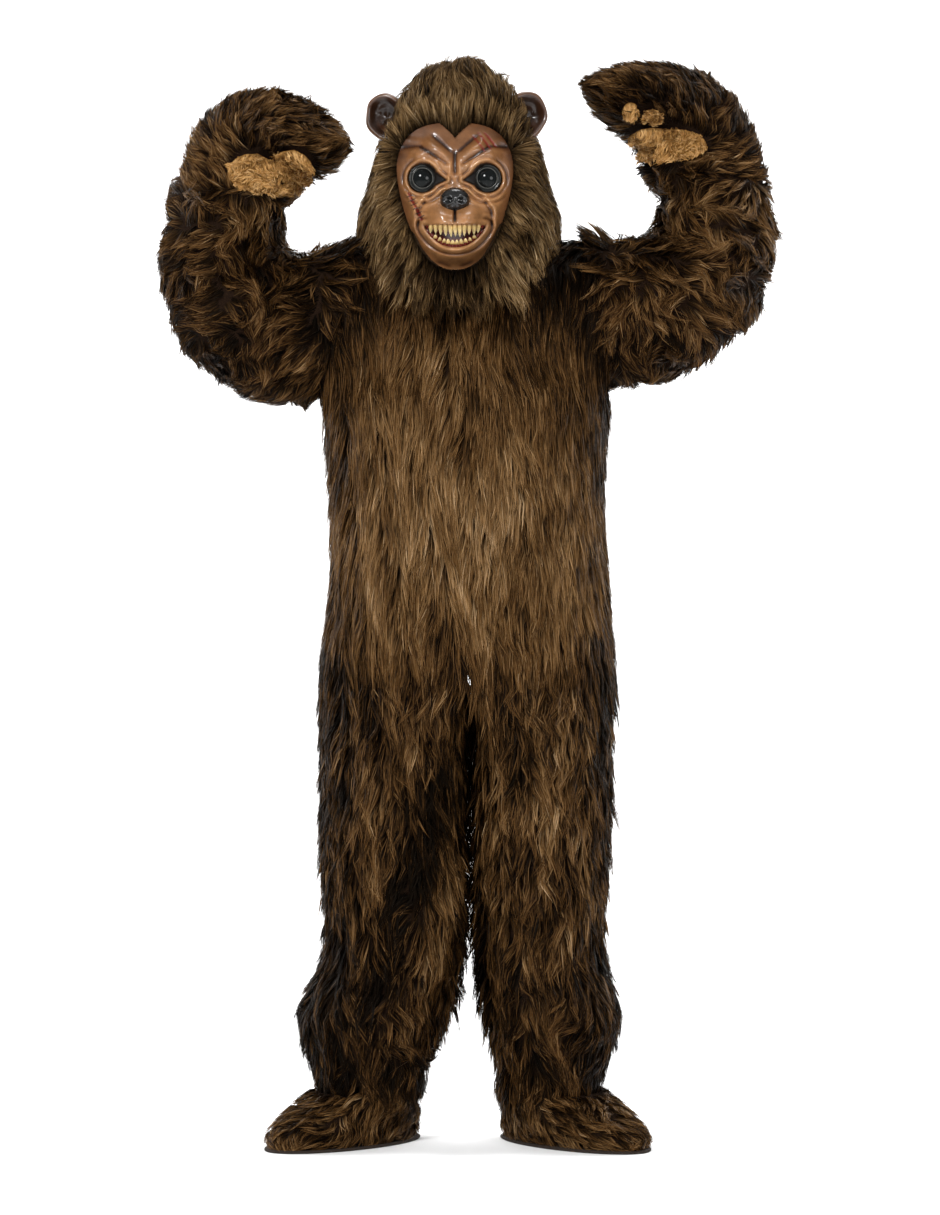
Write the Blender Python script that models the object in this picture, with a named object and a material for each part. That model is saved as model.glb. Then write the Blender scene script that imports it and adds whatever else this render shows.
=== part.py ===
"""Bear costume as it is worn, both arms raised: jumpsuit, hood with mane, face mask, mitts, boot covers.

Metres, +Z up. The front faces -Y and +X is on the viewer's right.
The origin is midway between the shoulders, where the wearer carries the suit, SOLE_DROP above the soles.
Fur cloth is one wall as thick as its backing and laid pile, so its outer side is as far as the fur reaches.
"""
import math

import bpy
import bmesh
from mathutils import Quaternion, Vector

# Driving dimensions
SOLE_DROP = 1.483
FUR_WALL = 0.020
LATEX_WALL = 0.003
PATCH_WALL = 0.005
SOLE_WALL = 0.005
GAP = 0.0003
SIDES = ("left", "right")
SIGN = {"left": -1.0, "right": 1.0}


def table(columns, *rows):
    """Rows of a table as dictionaries, one value for each named column."""
    names = columns.split()
    return [dict(zip(names, row)) for row in rows]


# Body of the jumpsuit, from the leg seam up to the armpit.
# The edges are X on each side, front and back are Y at the middle.
BODY_ROWS = table(
    "height left right front back",
    (-0.6800, -0.262, 0.255, -0.162, 0.166),
    (-0.6380, -0.259, 0.250, -0.168, 0.170),
    (-0.5800, -0.249, 0.244, -0.173, 0.166),
    (-0.5170, -0.242, 0.240, -0.177, 0.158),
    (-0.4500, -0.242, 0.235, -0.179, 0.149),
    (-0.3800, -0.242, 0.233, -0.177, 0.142),
    (-0.3100, -0.247, 0.236, -0.173, 0.142),
    (-0.2500, -0.254, 0.241, -0.170, 0.145),
)

# Middle of the front and back above the armpit, one row for each armhole point up to the neck.
# From the fifth on the rows end on the neckline.
CHEST_ROWS = table(
    "height front back",
    (-0.204, -0.168, 0.149),
    (-0.182, -0.166, 0.151),
    (-0.150, -0.161, 0.152),
    (-0.108, -0.152, 0.149),
    (-0.060, -0.134, 0.138),
)
NECK_HALF_WIDTH = 0.092
NECK_FRONT = -0.104
NECK_BACK = 0.098
NECK_LOW = -0.008
NECK_HIGH = 0.052
NECK_MIDDLE_X = -0.012
BODY_CORE = 0.085
BODY_CORE_TOP = -0.030
BODY_COLUMNS = 9
ROUND_X = 0.92
ROUND_Y = 0.86
ARMPIT_STEPS = 3.0

# Sleeves from the armhole to the cuff, each section by its end points in the XZ plane.
# The inner end is on top of the shoulder and inside the elbow, the outer end is in the armpit
# and on the outside of the elbow. Depth is half the section's size along Y.
SLEEVE_COLUMNS = "inner_x inner_z outer_x outer_z depth"
SLEEVE_ROWS = {
    "left": table(
        SLEEVE_COLUMNS,
        (-0.178, 0.085, -0.258, -0.200, 0.118),
        (-0.214, 0.078, -0.284, -0.220, 0.122),
        (-0.248, 0.064, -0.334, -0.217, 0.122),
        (-0.276, 0.055, -0.387, -0.201, 0.122),
        (-0.296, 0.054, -0.440, -0.168, 0.122),
        (-0.308, 0.060, -0.490, -0.124, 0.120),
        (-0.314, 0.069, -0.522, -0.066, 0.118),
        (-0.316, 0.081, -0.536, -0.006, 0.115),
        (-0.315, 0.096, -0.538, 0.050, 0.112),
        (-0.310, 0.113, -0.534, 0.100, 0.108),
        (-0.303, 0.132, -0.522, 0.148, 0.106),
    ),
    "right": table(
        SLEEVE_COLUMNS,
        (0.205, 0.085, 0.245, -0.190, 0.118),
        (0.236, 0.084, 0.286, -0.192, 0.122),
        (0.262, 0.080, 0.338, -0.176, 0.122),
        (0.283, 0.079, 0.390, -0.150, 0.122),
        (0.299, 0.083, 0.440, -0.116, 0.122),
        (0.309, 0.091, 0.485, -0.074, 0.120),
        (0.315, 0.101, 0.512, -0.028, 0.118),
        (0.318, 0.113, 0.525, 0.022, 0.115),
        (0.317, 0.127, 0.530, 0.074, 0.112),
        (0.312, 0.144, 0.528, 0.124, 0.108),
        (0.303, 0.164, 0.519, 0.171, 0.106),
    ),
}
ARMHOLE_STEPS = 8

# Ring folds round each sleeve: place along it from 0 to 1, side it is deepest on (0 inner, 180 outer),
# how far round it reaches, half its width along the sleeve and its rise, negative for a trough.
SLEEVE_FOLDS = table(
    "along around reach width rise",
    (0.13, 20.0, 150.0, 0.045, -0.008),
    (0.27, 160.0, 120.0, 0.050, 0.006),
    (0.38, 40.0, 90.0, 0.040, -0.010),
    (0.50, 150.0, 140.0, 0.045, 0.007),
    (0.62, 30.0, 110.0, 0.045, -0.009),
    (0.76, 120.0, 150.0, 0.040, 0.007),
    (0.88, 60.0, 160.0, 0.040, -0.008),
)

# Mitts from the wrist to the finger tips, in an upright plane that turns forward about HAND_X.
# Reach is the distance inward from there, side is half the width across the hand.
HAND_X = {"left": -0.3975, "right": 0.3980}
MITT_COLUMNS = "turn palm_reach palm_z back_reach back_z side"
MITT_ROWS = {
    "left": table(
        MITT_COLUMNS,
        (0.0, 0.1045, 0.152, -0.1045, 0.188, 0.103),
        (8.0, 0.110, 0.160, -0.092, 0.236, 0.103),
        (16.0, 0.116, 0.164, -0.058, 0.290, 0.103),
        (23.0, 0.128, 0.162, 0.004, 0.328, 0.102),
        (29.0, 0.150, 0.164, 0.078, 0.328, 0.098),
        (33.0, 0.178, 0.174, 0.142, 0.304, 0.086),
        (35.0, 0.202, 0.192, 0.187, 0.270, 0.062),
        (35.0, 0.218, 0.212, 0.213, 0.244, 0.030),
    ),
    "right": table(
        MITT_COLUMNS,
        (0.0, 0.1080, 0.185, -0.1080, 0.213, 0.103),
        (8.0, 0.108, 0.198, -0.094, 0.266, 0.103),
        (16.0, 0.109, 0.212, -0.054, 0.326, 0.103),
        (23.0, 0.118, 0.222, 0.006, 0.362, 0.102),
        (29.0, 0.142, 0.234, 0.078, 0.372, 0.098),
        (33.0, 0.178, 0.254, 0.148, 0.366, 0.086),
        (35.0, 0.214, 0.284, 0.202, 0.354, 0.062),
        (35.0, 0.238, 0.308, 0.233, 0.337, 0.030),
    ),
}
MITT_TIP_REACH = 0.012
MITT_HOLLOW_REACH = 0.004

# Palm and finger pads on the mitts' fronts, by their middle and half size in the XZ plane.
# Dip is how far the upper edge sinks between the palm's two lobes.
PADS = table(
    "name side x z half_width half_height dip",
    ("palm_left", "left", -0.3390, 0.1750, 0.0735, 0.0370, 0.0200),
    ("palm_right", "right", 0.3310, 0.2220, 0.0700, 0.0265, 0.0050),
    ("finger_pad_right_1", "right", 0.2700, 0.2720, 0.0130, 0.0120, 0.0000),
    ("finger_pad_right_2", "right", 0.3090, 0.2625, 0.0150, 0.0110, 0.0000),
)
PAD_STEPS = 20
PAD_DIP_WIDTH = 0.30
PAD_ROWS = 8

# Trouser legs from the body seam to the hem. Roundness is 0 for a D shape with a straight inside
# and 1 for an oval.
LEG_COLUMNS = "height outer inner front back roundness"
LEG_ROWS = {
    "left": table(
        LEG_COLUMNS,
        (-0.6803, -0.262, -0.0015, -0.162, 0.166, 0.00),
        (-0.7300, -0.263, -0.0020, -0.161, 0.162, 0.15),
        (-0.7800, -0.263, -0.0025, -0.157, 0.157, 0.32),
        (-0.8300, -0.262, -0.0030, -0.153, 0.153, 0.48),
        (-0.8800, -0.262, -0.0030, -0.149, 0.149, 0.60),
        (-0.9300, -0.262, -0.0030, -0.145, 0.147, 0.70),
        (-0.9800, -0.261, -0.0035, -0.142, 0.145, 0.80),
        (-1.0300, -0.258, -0.0040, -0.139, 0.142, 0.90),
        (-1.0800, -0.254, -0.0045, -0.137, 0.138, 1.00),
        (-1.1300, -0.252, -0.0060, -0.136, 0.134, 1.00),
        (-1.1800, -0.264, -0.0110, -0.139, 0.131, 1.00),
        (-1.2250, -0.288, -0.0200, -0.143, 0.130, 1.00),
        (-1.2650, -0.301, -0.0360, -0.141, 0.129, 1.00),
        (-1.3050, -0.293, -0.0500, -0.134, 0.124, 1.00),
        (-1.3450, -0.280, -0.0620, -0.122, 0.115, 1.00),
        (-1.3830, -0.268, -0.0720, -0.109, 0.105, 1.00),
    ),
    "right": table(
        LEG_COLUMNS,
        (-0.6803, 0.255, 0.0015, -0.162, 0.166, 0.00),
        (-0.7300, 0.252, 0.0020, -0.161, 0.162, 0.15),
        (-0.7800, 0.250, 0.0025, -0.157, 0.157, 0.32),
        (-0.8300, 0.248, 0.0030, -0.153, 0.153, 0.48),
        (-0.8800, 0.247, 0.0030, -0.149, 0.149, 0.60),
        (-0.9300, 0.246, 0.0030, -0.145, 0.147, 0.70),
        (-0.9800, 0.244, 0.0030, -0.142, 0.145, 0.80),
        (-1.0300, 0.240, 0.0030, -0.139, 0.142, 0.90),
        (-1.0800, 0.236, 0.0030, -0.137, 0.138, 1.00),
        (-1.1300, 0.234, 0.0040, -0.136, 0.134, 1.00),
        (-1.1800, 0.240, 0.0090, -0.139, 0.131, 1.00),
        (-1.2250, 0.255, 0.0170, -0.142, 0.130, 1.00),
        (-1.2650, 0.263, 0.0260, -0.140, 0.129, 1.00),
        (-1.3050, 0.256, 0.0350, -0.133, 0.124, 1.00),
        (-1.3450, 0.243, 0.0410, -0.121, 0.115, 1.00),
        (-1.3830, 0.228, 0.0450, -0.109, 0.105, 1.00),
    ),
}
LEG_COLUMNS_AROUND = 11
LEG_STRAIGHT_PART = 0.34
LEG_CORE = 0.025

# Slanted folds of the body and legs, each from its top end to its bottom end in the XZ plane.
# Width is half the fold's breadth and rise is its height, negative for a trough.
BODY_FOLDS = table(
    "face top_x top_z low_x low_z width rise",
    ("front", -0.052, -0.860, -0.172, -1.240, 0.026, -0.015),
    ("front", -0.006, -1.010, -0.150, -1.310, 0.030, 0.012),
    ("front", -0.110, -0.760, -0.235, -1.050, 0.035, 0.006),
    ("front", 0.040, -0.700, 0.085, -1.020, 0.026, -0.008),
    ("front", 0.225, -1.150, 0.060, -1.200, 0.024, -0.010),
    ("front", 0.120, -0.760, 0.150, -1.080, 0.036, 0.006),
    ("front", -0.170, -0.330, -0.060, -0.620, 0.036, -0.006),
    ("front", 0.165, -0.300, 0.070, -0.600, 0.036, -0.006),
    ("back", 0.060, -0.820, 0.180, -1.220, 0.028, -0.012),
    ("back", 0.010, -1.000, 0.140, -1.290, 0.030, 0.010),
    ("back", -0.050, -0.700, -0.100, -1.060, 0.028, -0.009),
    ("back", -0.215, -1.140, -0.060, -1.210, 0.024, -0.010),
    ("back", -0.150, -0.340, -0.050, -0.600, 0.040, -0.007),
    ("back", 0.160, -0.320, 0.060, -0.610, 0.040, -0.007),
)

# Boot covers from the ankle seam down to the sole. Shift is the section's distance forward of the ankle.
BOOT_ROWS = table(
    "height shift half_length half_width",
    (-1.3833, 0.000, 0.104, 0.096),
    (-1.4010, 0.018, 0.121, 0.095),
    (-1.4180, 0.036, 0.139, 0.092),
    (-1.4340, 0.050, 0.154, 0.089),
    (-1.4490, 0.059, 0.164, 0.086),
    (-1.4640, 0.063, 0.168, 0.084),
    (-1.4777, 0.062, 0.163, 0.080),
)
BOOT_SIDES = 22
ANKLE_X = {"left": -0.172, "right": 0.1365}
TOE_OUT = {"left": 47.0, "right": 44.0}

# Hood and mane from the lower edge to the crown. The edge is low over the chest, high over the
# shoulders and lower again over the back, so each row has three heights.
HOOD_X = -0.019
HOOD_ROWS = table(
    "front_z side_z back_z half_width front back",
    (-0.034, 0.0855, -0.034, 0.179, -0.162, 0.146),
    (0.002, 0.104, 0.002, 0.179, -0.156, 0.145),
    (0.038, 0.130, 0.042, 0.173, -0.151, 0.145),
    (0.078, 0.151, 0.084, 0.164, -0.144, 0.144),
    (0.120, 0.176, 0.126, 0.157, -0.139, 0.142),
    (0.164, 0.205, 0.170, 0.150, -0.135, 0.140),
    (0.208, 0.236, 0.213, 0.142, -0.130, 0.136),
    (0.250, 0.264, 0.252, 0.132, -0.123, 0.129),
    (0.288, 0.293, 0.288, 0.119, -0.112, 0.118),
    (0.320, 0.321, 0.320, 0.104, -0.099, 0.104),
    (0.347, 0.347, 0.347, 0.084, -0.080, 0.084),
    (0.368, 0.368, 0.368, 0.055, -0.053, 0.055),
    (0.381, 0.381, 0.381, 0.026, -0.025, 0.026),
    (0.3855, 0.3855, 0.3855, 0.000, 0.000, 0.000),
)
HOOD_COLUMNS = 12
HOOD_CORE_TOP = 0.230
MANE_FRONT_ANGLE = 22.0
MANE_SIDE_ANGLE = 78.0
MANE_BACK_ANGLE = 110.0

# Face mask: half its width at each height, then its relief.
FACE_X = -0.0255
FACE_Z = 0.130
FACE_OUTLINE = table(
    "height half_width",
    (0.256, 0.0000),
    (0.256, 0.0480),
    (0.240, 0.0790),
    (0.210, 0.0965),
    (0.170, 0.0985),
    (0.130, 0.0910),
    (0.090, 0.0800),
    (0.050, 0.0620),
    (0.018, 0.0380),
    (0.003, 0.0000),
)
FACE_EDGE_Y = -0.112
FACE_DOME = 0.030
# Forms on the mask: place from the middle of the face, mirrored where x is not 0, and rise towards -Y.
FACE_FORMS = table(
    "x z size_x size_z rise",
    (0.000, 0.076, 0.040, 0.030, 0.038),
    (0.024, 0.092, 0.018, 0.020, 0.010),
    (0.000, 0.020, 0.032, 0.018, 0.020),
    (0.050, 0.206, 0.032, 0.016, 0.014),
    (0.014, 0.180, 0.014, 0.026, 0.008),
    (0.072, 0.106, 0.020, 0.026, 0.008),
    (0.054, 0.162, 0.022, 0.018, -0.014),
)
FACE_RINGS = 9
FACE_STEPS = 32
FACE_RIM_SHARE = 0.35
FACE_CORNER_SPREAD = 9.0
EYE_X = 0.0545
EYE_Z = 0.162
EYE_RADIUS = 0.0245
EYE_SINK = 0.007
NOSE_Z = 0.1225
NOSE_SIZE = (0.0240, 0.0180, 0.0185)
NOSE_LIFT = 0.004
MOUTH_HALF_WIDTH = 0.052
MOUTH_CORNER_Z = 0.082
MOUTH_TOP_SAG = 0.004
MOUTH_BOTTOM_SAG = 0.037
MOUTH_BOTTOM_ROUNDNESS = 0.8
MOUTH_CORNER_HEIGHT = 0.002
MOUTH_STEPS = 12
# Rows of teeth: spread is the row's width as a share of half the mouth, length a share of its height.
TEETH = table(
    "row count spread length",
    ("upper", 11, 1.64, 0.55),
    ("lower", 9, 1.30, 0.42),
)
TOOTH_FILL = 0.48
EAR_SIZE = (0.037, 0.017, 0.043)
EAR_PLACE = {"left": (-0.143, -0.022, 0.278), "right": (0.096, -0.022, 0.281)}
EAR_LEAN = 14.0
EAR_TURN = 12.0
EAR_BOWL_SHIFT = (0.003, -0.014, 0.002)
EAR_BOWL_SHARE = (0.74, 0.80, 0.76)

FRONT_OF_ALL = -0.25
PAD_CUT_BACK = -0.01
HOOD_CUT_BACK = -0.02
MOUTH_CUT_BACK = -0.05
TOOTH_SHARPNESS = 0.0006
GUM_SINK = 0.003
GUM_WALL = 0.006
TOOTH_SINK = 0.002
CREASE_ANGLE = 50.0

# Colours: red, green, blue, roughness
COLOURS = {
    "fur_body": (0.060, 0.036, 0.022, 0.9),
    "fur_hood": (0.140, 0.095, 0.062, 0.9),
    "latex": (0.330, 0.170, 0.085, 0.3),
    "plush": (0.480, 0.270, 0.085, 0.85),
    "black_gloss": (0.010, 0.010, 0.010, 0.1),
    "tooth": (0.700, 0.560, 0.250, 0.35),
    "sole_cloth": (0.030, 0.022, 0.018, 0.8),
}


def blend(first, second, amount):
    return first + (second - first) * amount


def smooth_step(amount):
    amount = min(max(amount, 0.0), 1.0)
    return amount * amount * (3.0 - 2.0 * amount)


def towards(point, core, distance):
    """The point moved by a distance in the direction of the core."""
    return point + (core - point).normalized() * distance


# Scene and materials


def clear_scene():
    for thing in list(bpy.data.objects):
        bpy.data.objects.remove(thing, do_unlink=True)


def make_collection(name):
    collection = bpy.data.collections.new(name)
    bpy.context.scene.collection.children.link(collection)
    return collection


def make_material(node, colour):
    red, green, blue, roughness = COLOURS[colour]
    material = bpy.data.materials.new(node + "_" + colour)
    material.use_nodes = True
    shader = material.node_tree.nodes["Principled BSDF"]
    shader.inputs["Base Color"].default_value = (red, green, blue, 1.0)
    shader.inputs["Roughness"].default_value = roughness
    shader.inputs["Metallic"].default_value = 0.0
    return material


def add_object(name, mesh, collection, colour):
    mesh.name = name
    item = bpy.data.objects.new(name, mesh)
    collection.objects.link(item)
    item.data.materials.append(make_material(name, colour))
    mesh.shade_smooth()
    mesh.set_sharp_from_angle(angle=math.radians(CREASE_ANGLE))
    return item


def add_cutter(name, mesh, cutters):
    cutter = bpy.data.objects.new(name, mesh)
    cutters.objects.link(cutter)
    cutter.hide_render = True
    cutter.display_type = "WIRE"
    return cutter


def cut(item, cutter, operation="DIFFERENCE"):
    modifier = item.modifiers.new(operation.lower() + "_" + cutter.name, "BOOLEAN")
    modifier.operation = operation
    modifier.solver = "EXACT"
    modifier.object = cutter


# Meshes from rows of points


def mesh_from_triangles(points, triangles):
    shape = bmesh.new()
    corners = [shape.verts.new(point) for point in points]
    for triangle in triangles:
        shape.faces.new([corners[index] for index in triangle])
    bmesh.ops.remove_doubles(shape, verts=shape.verts, dist=1e-6)
    bmesh.ops.dissolve_degenerate(shape, edges=shape.edges, dist=1e-6)
    bmesh.ops.recalc_face_normals(shape, faces=shape.faces)
    mesh = bpy.data.meshes.new("shape")
    shape.to_mesh(mesh)
    shape.free()
    return mesh


def wall_mesh(outer, inner, closed=False):
    """A closed wall between two grids of points of the same size.

    Closed joins the last column to the first.
    """
    rows = len(outer)
    columns = len(outer[0])
    points = [point for grid in (outer, inner) for row in grid for point in row]
    triangles = []

    def index(layer, row, column):
        return (layer * rows + row) * columns + column % columns

    def add_quad(first, second, third, fourth):
        triangles.append((first, second, third))
        triangles.append((first, third, fourth))

    spans = columns if closed else columns - 1
    for row in range(rows - 1):
        for column in range(spans):
            for layer in (0, 1):
                add_quad(index(layer, row, column), index(layer, row, column + 1),
                         index(layer, row + 1, column + 1), index(layer, row + 1, column))
    for column in range(spans):
        for row in (0, rows - 1):
            add_quad(index(0, row, column), index(0, row, column + 1),
                     index(1, row, column + 1), index(1, row, column))
    if not closed:
        for row in range(rows - 1):
            for column in (0, columns - 1):
                add_quad(index(0, row, column), index(0, row + 1, column),
                         index(1, row + 1, column), index(1, row, column))
    usable = [triangle for triangle in triangles if not collapsed(points, triangle)]
    return mesh_from_triangles(points, usable)


def collapsed(points, triangle):
    """True where two corners of the triangle are one place, as at a pole."""
    first, second, third = (points[corner] for corner in triangle)
    closest = min((first - second).length, (second - third).length, (third - first).length)
    return closest < 1e-6


# Folds


def body_fold(point, face):
    """Rise of the slanted folds at a point of the front or the back."""
    rise = 0.0
    for fold in BODY_FOLDS:
        if fold["face"] != face:
            continue
        top = Vector((fold["top_x"], fold["top_z"]))
        low = Vector((fold["low_x"], fold["low_z"]))
        run = low - top
        place = Vector((point.x, point.z)) - top
        along = place.dot(run) / run.length_squared
        ends = smooth_step((along + 0.15) / 0.3) * smooth_step((1.15 - along) / 0.3)
        across = (place - run * along).length / fold["width"]
        rise += fold["rise"] * ends * math.exp(-across * across)
    return rise


def sleeve_fold(along, around):
    """Rise of the ring folds at a place along a sleeve and an angle round it in degrees."""
    rise = 0.0
    for fold in SLEEVE_FOLDS:
        lengthwise = (along - fold["along"]) / fold["width"]
        sideways = (around - fold["around"]) / fold["reach"]
        rise += fold["rise"] * math.exp(-lengthwise * lengthwise - sideways * sideways)
    return rise * smooth_step(along / 0.08) * smooth_step((1.0 - along) / 0.08)


# Jumpsuit body


def armhole_point(side, step, facing, wall=0.0):
    """A point of the armhole, from the armpit at step 0 to the shoulder tip at the last step."""
    row = SLEEVE_ROWS[side][0]
    top = Vector((row["inner_x"], 0.0, row["inner_z"]))
    low = Vector((row["outer_x"], 0.0, row["outer_z"]))
    middle = (top + low) / 2.0
    upright = (top - low) / 2.0
    angle = math.pi * step / ARMHOLE_STEPS
    tall = 1.0 - wall / upright.length
    deep = row["depth"] - wall
    return middle - upright * (math.cos(angle) * tall) + Vector((0.0, facing * deep * math.sin(angle), 0.0))


def neckline_point(side, turn, facing):
    """A point of the neckline, from the middle of the front or back at turn 0 to the side at turn 1."""
    angle = turn * math.pi / 2.0
    depth = -NECK_FRONT if facing < 0.0 else NECK_BACK
    across = SIGN[side] * NECK_HALF_WIDTH * math.sin(angle) + NECK_MIDDLE_X * turn
    return Vector((across, facing * depth * math.cos(angle), blend(NECK_LOW, NECK_HIGH, turn * turn)))


def body_row_ends(side, facing):
    """The inner and outer end of each row of a body panel, and how flat the row is between them."""
    face = "front" if facing < 0.0 else "back"
    ends = []
    for row in BODY_ROWS:
        inner = Vector((0.0, row[face], row["height"]))
        outer = Vector((row[side], 0.0, row["height"]))
        ends.append((inner, outer, 0.0))
    for step in range(ARMHOLE_STEPS + 1):
        outer = armhole_point(side, step, facing)
        if step < len(CHEST_ROWS):
            inner = Vector((0.0, CHEST_ROWS[step][face], CHEST_ROWS[step]["height"]))
        else:
            first = len(CHEST_ROWS)
            inner = neckline_point(side, (step - first) / (ARMHOLE_STEPS - first), facing)
        ends.append((inner, outer, smooth_step(step / ARMPIT_STEPS)))
    return ends


def body_core(point):
    """The place inside the body that a point of its wall is thickened towards."""
    across = min(max(point.x, -BODY_CORE), BODY_CORE)
    return Vector((across, 0.0, min(point.z, BODY_CORE_TOP)))


def body_panel(side, facing):
    """The outer and inner grid of one quarter of the jumpsuit's body."""
    face = "front" if facing < 0.0 else "back"
    outer_grid = []
    inner_grid = []
    rows = body_row_ends(side, facing)
    first_armhole_row = len(BODY_ROWS)
    for number, (inner_end, outer_end, flatness) in enumerate(rows):
        outer_row = []
        inner_row = []
        for column in range(BODY_COLUMNS):
            share = column / (BODY_COLUMNS - 1)
            angle = share * math.pi / 2.0
            round_x = blend(inner_end.x, outer_end.x, math.sin(angle) ** ROUND_X)
            round_y = blend(outer_end.y, inner_end.y, math.cos(angle) ** ROUND_Y)
            flat_x = blend(inner_end.x, outer_end.x, share)
            flat_y = blend(inner_end.y, outer_end.y, smooth_step(share))
            point = Vector((blend(round_x, flat_x, flatness), blend(round_y, flat_y, flatness),
                            blend(inner_end.z, outer_end.z, share)))
            if column in (0, BODY_COLUMNS - 1):
                point = (inner_end, outer_end)[column > 0].copy()
            inside = towards(point, body_core(point), FUR_WALL)
            if column == BODY_COLUMNS - 1 and number >= first_armhole_row:
                inside = armhole_point(side, number - first_armhole_row, facing, FUR_WALL)
            elif 0 < column < BODY_COLUMNS - 1 and 0 < number < len(rows) - 1:
                point = towards(point, body_core(point), -body_fold(point, face))
            shift = Vector((SIGN[side] * GAP / 2.0, facing * GAP / 2.0, 0.0))
            outer_row.append(point + shift)
            inner_row.append(inside + shift)
        outer_grid.append(outer_row)
        inner_grid.append(inner_row)
    return outer_grid, inner_grid


def make_body(costume):
    for side in SIDES:
        for face, facing in (("front", -1.0), ("back", 1.0)):
            outer, inner = body_panel(side, facing)
            add_object("torso_" + face + "_" + side, wall_mesh(outer, inner), costume, "fur_body")


# Sleeves and mitts


def oval_point(middle, first_axis, second_axis, angle, wall):
    """A point of an oval section, or of its inside where the wall is not 0."""
    first = first_axis * (1.0 - wall / first_axis.length)
    second = second_axis * (1.0 - wall / second_axis.length)
    return middle + first * math.cos(angle) + second * math.sin(angle)


def half_tube(sections, facing, fold=None):
    """The outer and inner grid of one half of a tube. A section is its middle and its two half axes."""
    outer_grid = []
    inner_grid = []
    for number, (middle, first_axis, second_axis) in enumerate(sections):
        along = number / (len(sections) - 1)
        seam = second_axis.normalized() * (facing * GAP / 2.0)
        outer_row = []
        inner_row = []
        for step in range(ARMHOLE_STEPS + 1):
            angle = math.pi * step / ARMHOLE_STEPS
            point = oval_point(middle, first_axis, second_axis * facing, angle, 0.0)
            inside = oval_point(middle, first_axis, second_axis * facing, angle, FUR_WALL)
            if fold:
                point += (point - middle).normalized() * fold(along, math.degrees(angle))
            outer_row.append(point + seam)
            inner_row.append(inside + seam)
        outer_grid.append(outer_row)
        inner_grid.append(inner_row)
    return outer_grid, inner_grid


def sleeve_sections(side):
    """Sections of a sleeve, the first and last moved in by the gap at the armhole and the cuff."""
    sections = []
    for number, row in enumerate(SLEEVE_ROWS[side]):
        inner = Vector((row["inner_x"], 0.0, row["inner_z"]))
        outer = Vector((row["outer_x"], 0.0, row["outer_z"]))
        middle = (inner + outer) / 2.0
        if number == 0:
            middle.x += SIGN[side] * GAP * 1.5
        sections.append((middle, (inner - outer) / 2.0, Vector((0.0, row["depth"], 0.0))))
    return sections


def mitt_sections(side):
    """Sections of a mitt from the cuff on. The hand turns inward and forward over the wrist."""
    cuff_middle, cuff_axis, cuff_depth = sleeve_sections(side)[-1]
    sections = [(cuff_middle + Vector((0.0, 0.0, GAP * 1.2)), cuff_axis, cuff_depth)]
    for row in MITT_ROWS[side]:
        turn = math.radians(row["turn"])
        forward = Vector((-SIGN[side] * math.cos(turn), -math.sin(turn), 0.0))
        across = Vector((-SIGN[side] * math.sin(turn), math.cos(turn), 0.0))
        start = Vector((HAND_X[side], 0.0, 0.0))
        palm = start + forward * row["palm_reach"] + Vector((0.0, 0.0, row["palm_z"]))
        back = start + forward * row["back_reach"] + Vector((0.0, 0.0, row["back_z"]))
        sections.append(((palm + back) / 2.0, (palm - back) / 2.0, across * row["side"]))
    return sections


def close_tip(outer, inner, sections, facing):
    """Brings the last row of a mitt's grids to one point, and the inside's last row to another."""
    last, _, last_depth = sections[-1]
    heading = (last - sections[-2][0]).normalized()
    seam = last_depth.normalized() * (facing * GAP / 2.0)
    tip = last + heading * MITT_TIP_REACH + seam
    outer.append([tip] * len(outer[0]))
    inner_tip = sections[-2][0] + heading * MITT_HOLLOW_REACH + seam
    inner[-1] = [inner_tip] * len(inner[0])
    inner.append([inner_tip] * len(inner[0]))


def make_sleeves(costume):
    for side in SIDES:
        sections = sleeve_sections(side)
        for face, facing in (("front", -1.0), ("back", 1.0)):
            outer, inner = half_tube(sections, facing, sleeve_fold)
            add_object("sleeve_" + side + "_" + face, wall_mesh(outer, inner), costume, "fur_body")


def make_mitts(costume, cutters):
    for side in SIDES:
        sections = mitt_sections(side)
        for face, facing in (("front", -1.0), ("back", 1.0)):
            outer, inner = half_tube(sections, facing)
            close_tip(outer, inner, sections, facing)
            add_object("mitt_" + side + "_" + face, wall_mesh(outer, inner), costume, "fur_body")
            if face == "front":
                make_pads(side, outer, sections, costume, cutters)


def pad_outline(pad):
    """A pad's outline in the XZ plane, an oval with a dip in its upper edge."""
    outline = []
    for step in range(PAD_STEPS):
        angle = 2.0 * math.pi * step / PAD_STEPS
        across = math.sin(angle)
        height = pad["half_height"] * math.cos(angle)
        if height > 0.0:
            height -= pad["dip"] * math.exp(-(across / PAD_DIP_WIDTH) ** 2)
        outline.append(Vector((pad["x"] + pad["half_width"] * across, pad["z"] + height)))
    return outline


def make_pads(side, outer, sections, costume, cutters):
    """Palm and finger pads, cut from the mitt's own points moved out."""
    low_grid = []
    top_grid = []
    for row, (middle, _, _) in zip(outer[:PAD_ROWS], sections):
        low_grid.append([towards(point, middle, -2.0 * GAP) for point in row])
        top_grid.append([towards(point, middle, -2.0 * GAP - PATCH_WALL) for point in row])
    for pad in PADS:
        if pad["side"] == side:
            item = add_object(pad["name"], wall_mesh(top_grid, low_grid), costume, "plush")
            shape = prism_mesh(pad_outline(pad), FRONT_OF_ALL, PAD_CUT_BACK)
            cut(item, add_cutter("shape_of_" + pad["name"], shape, cutters), "INTERSECT")


# Trouser legs


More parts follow.
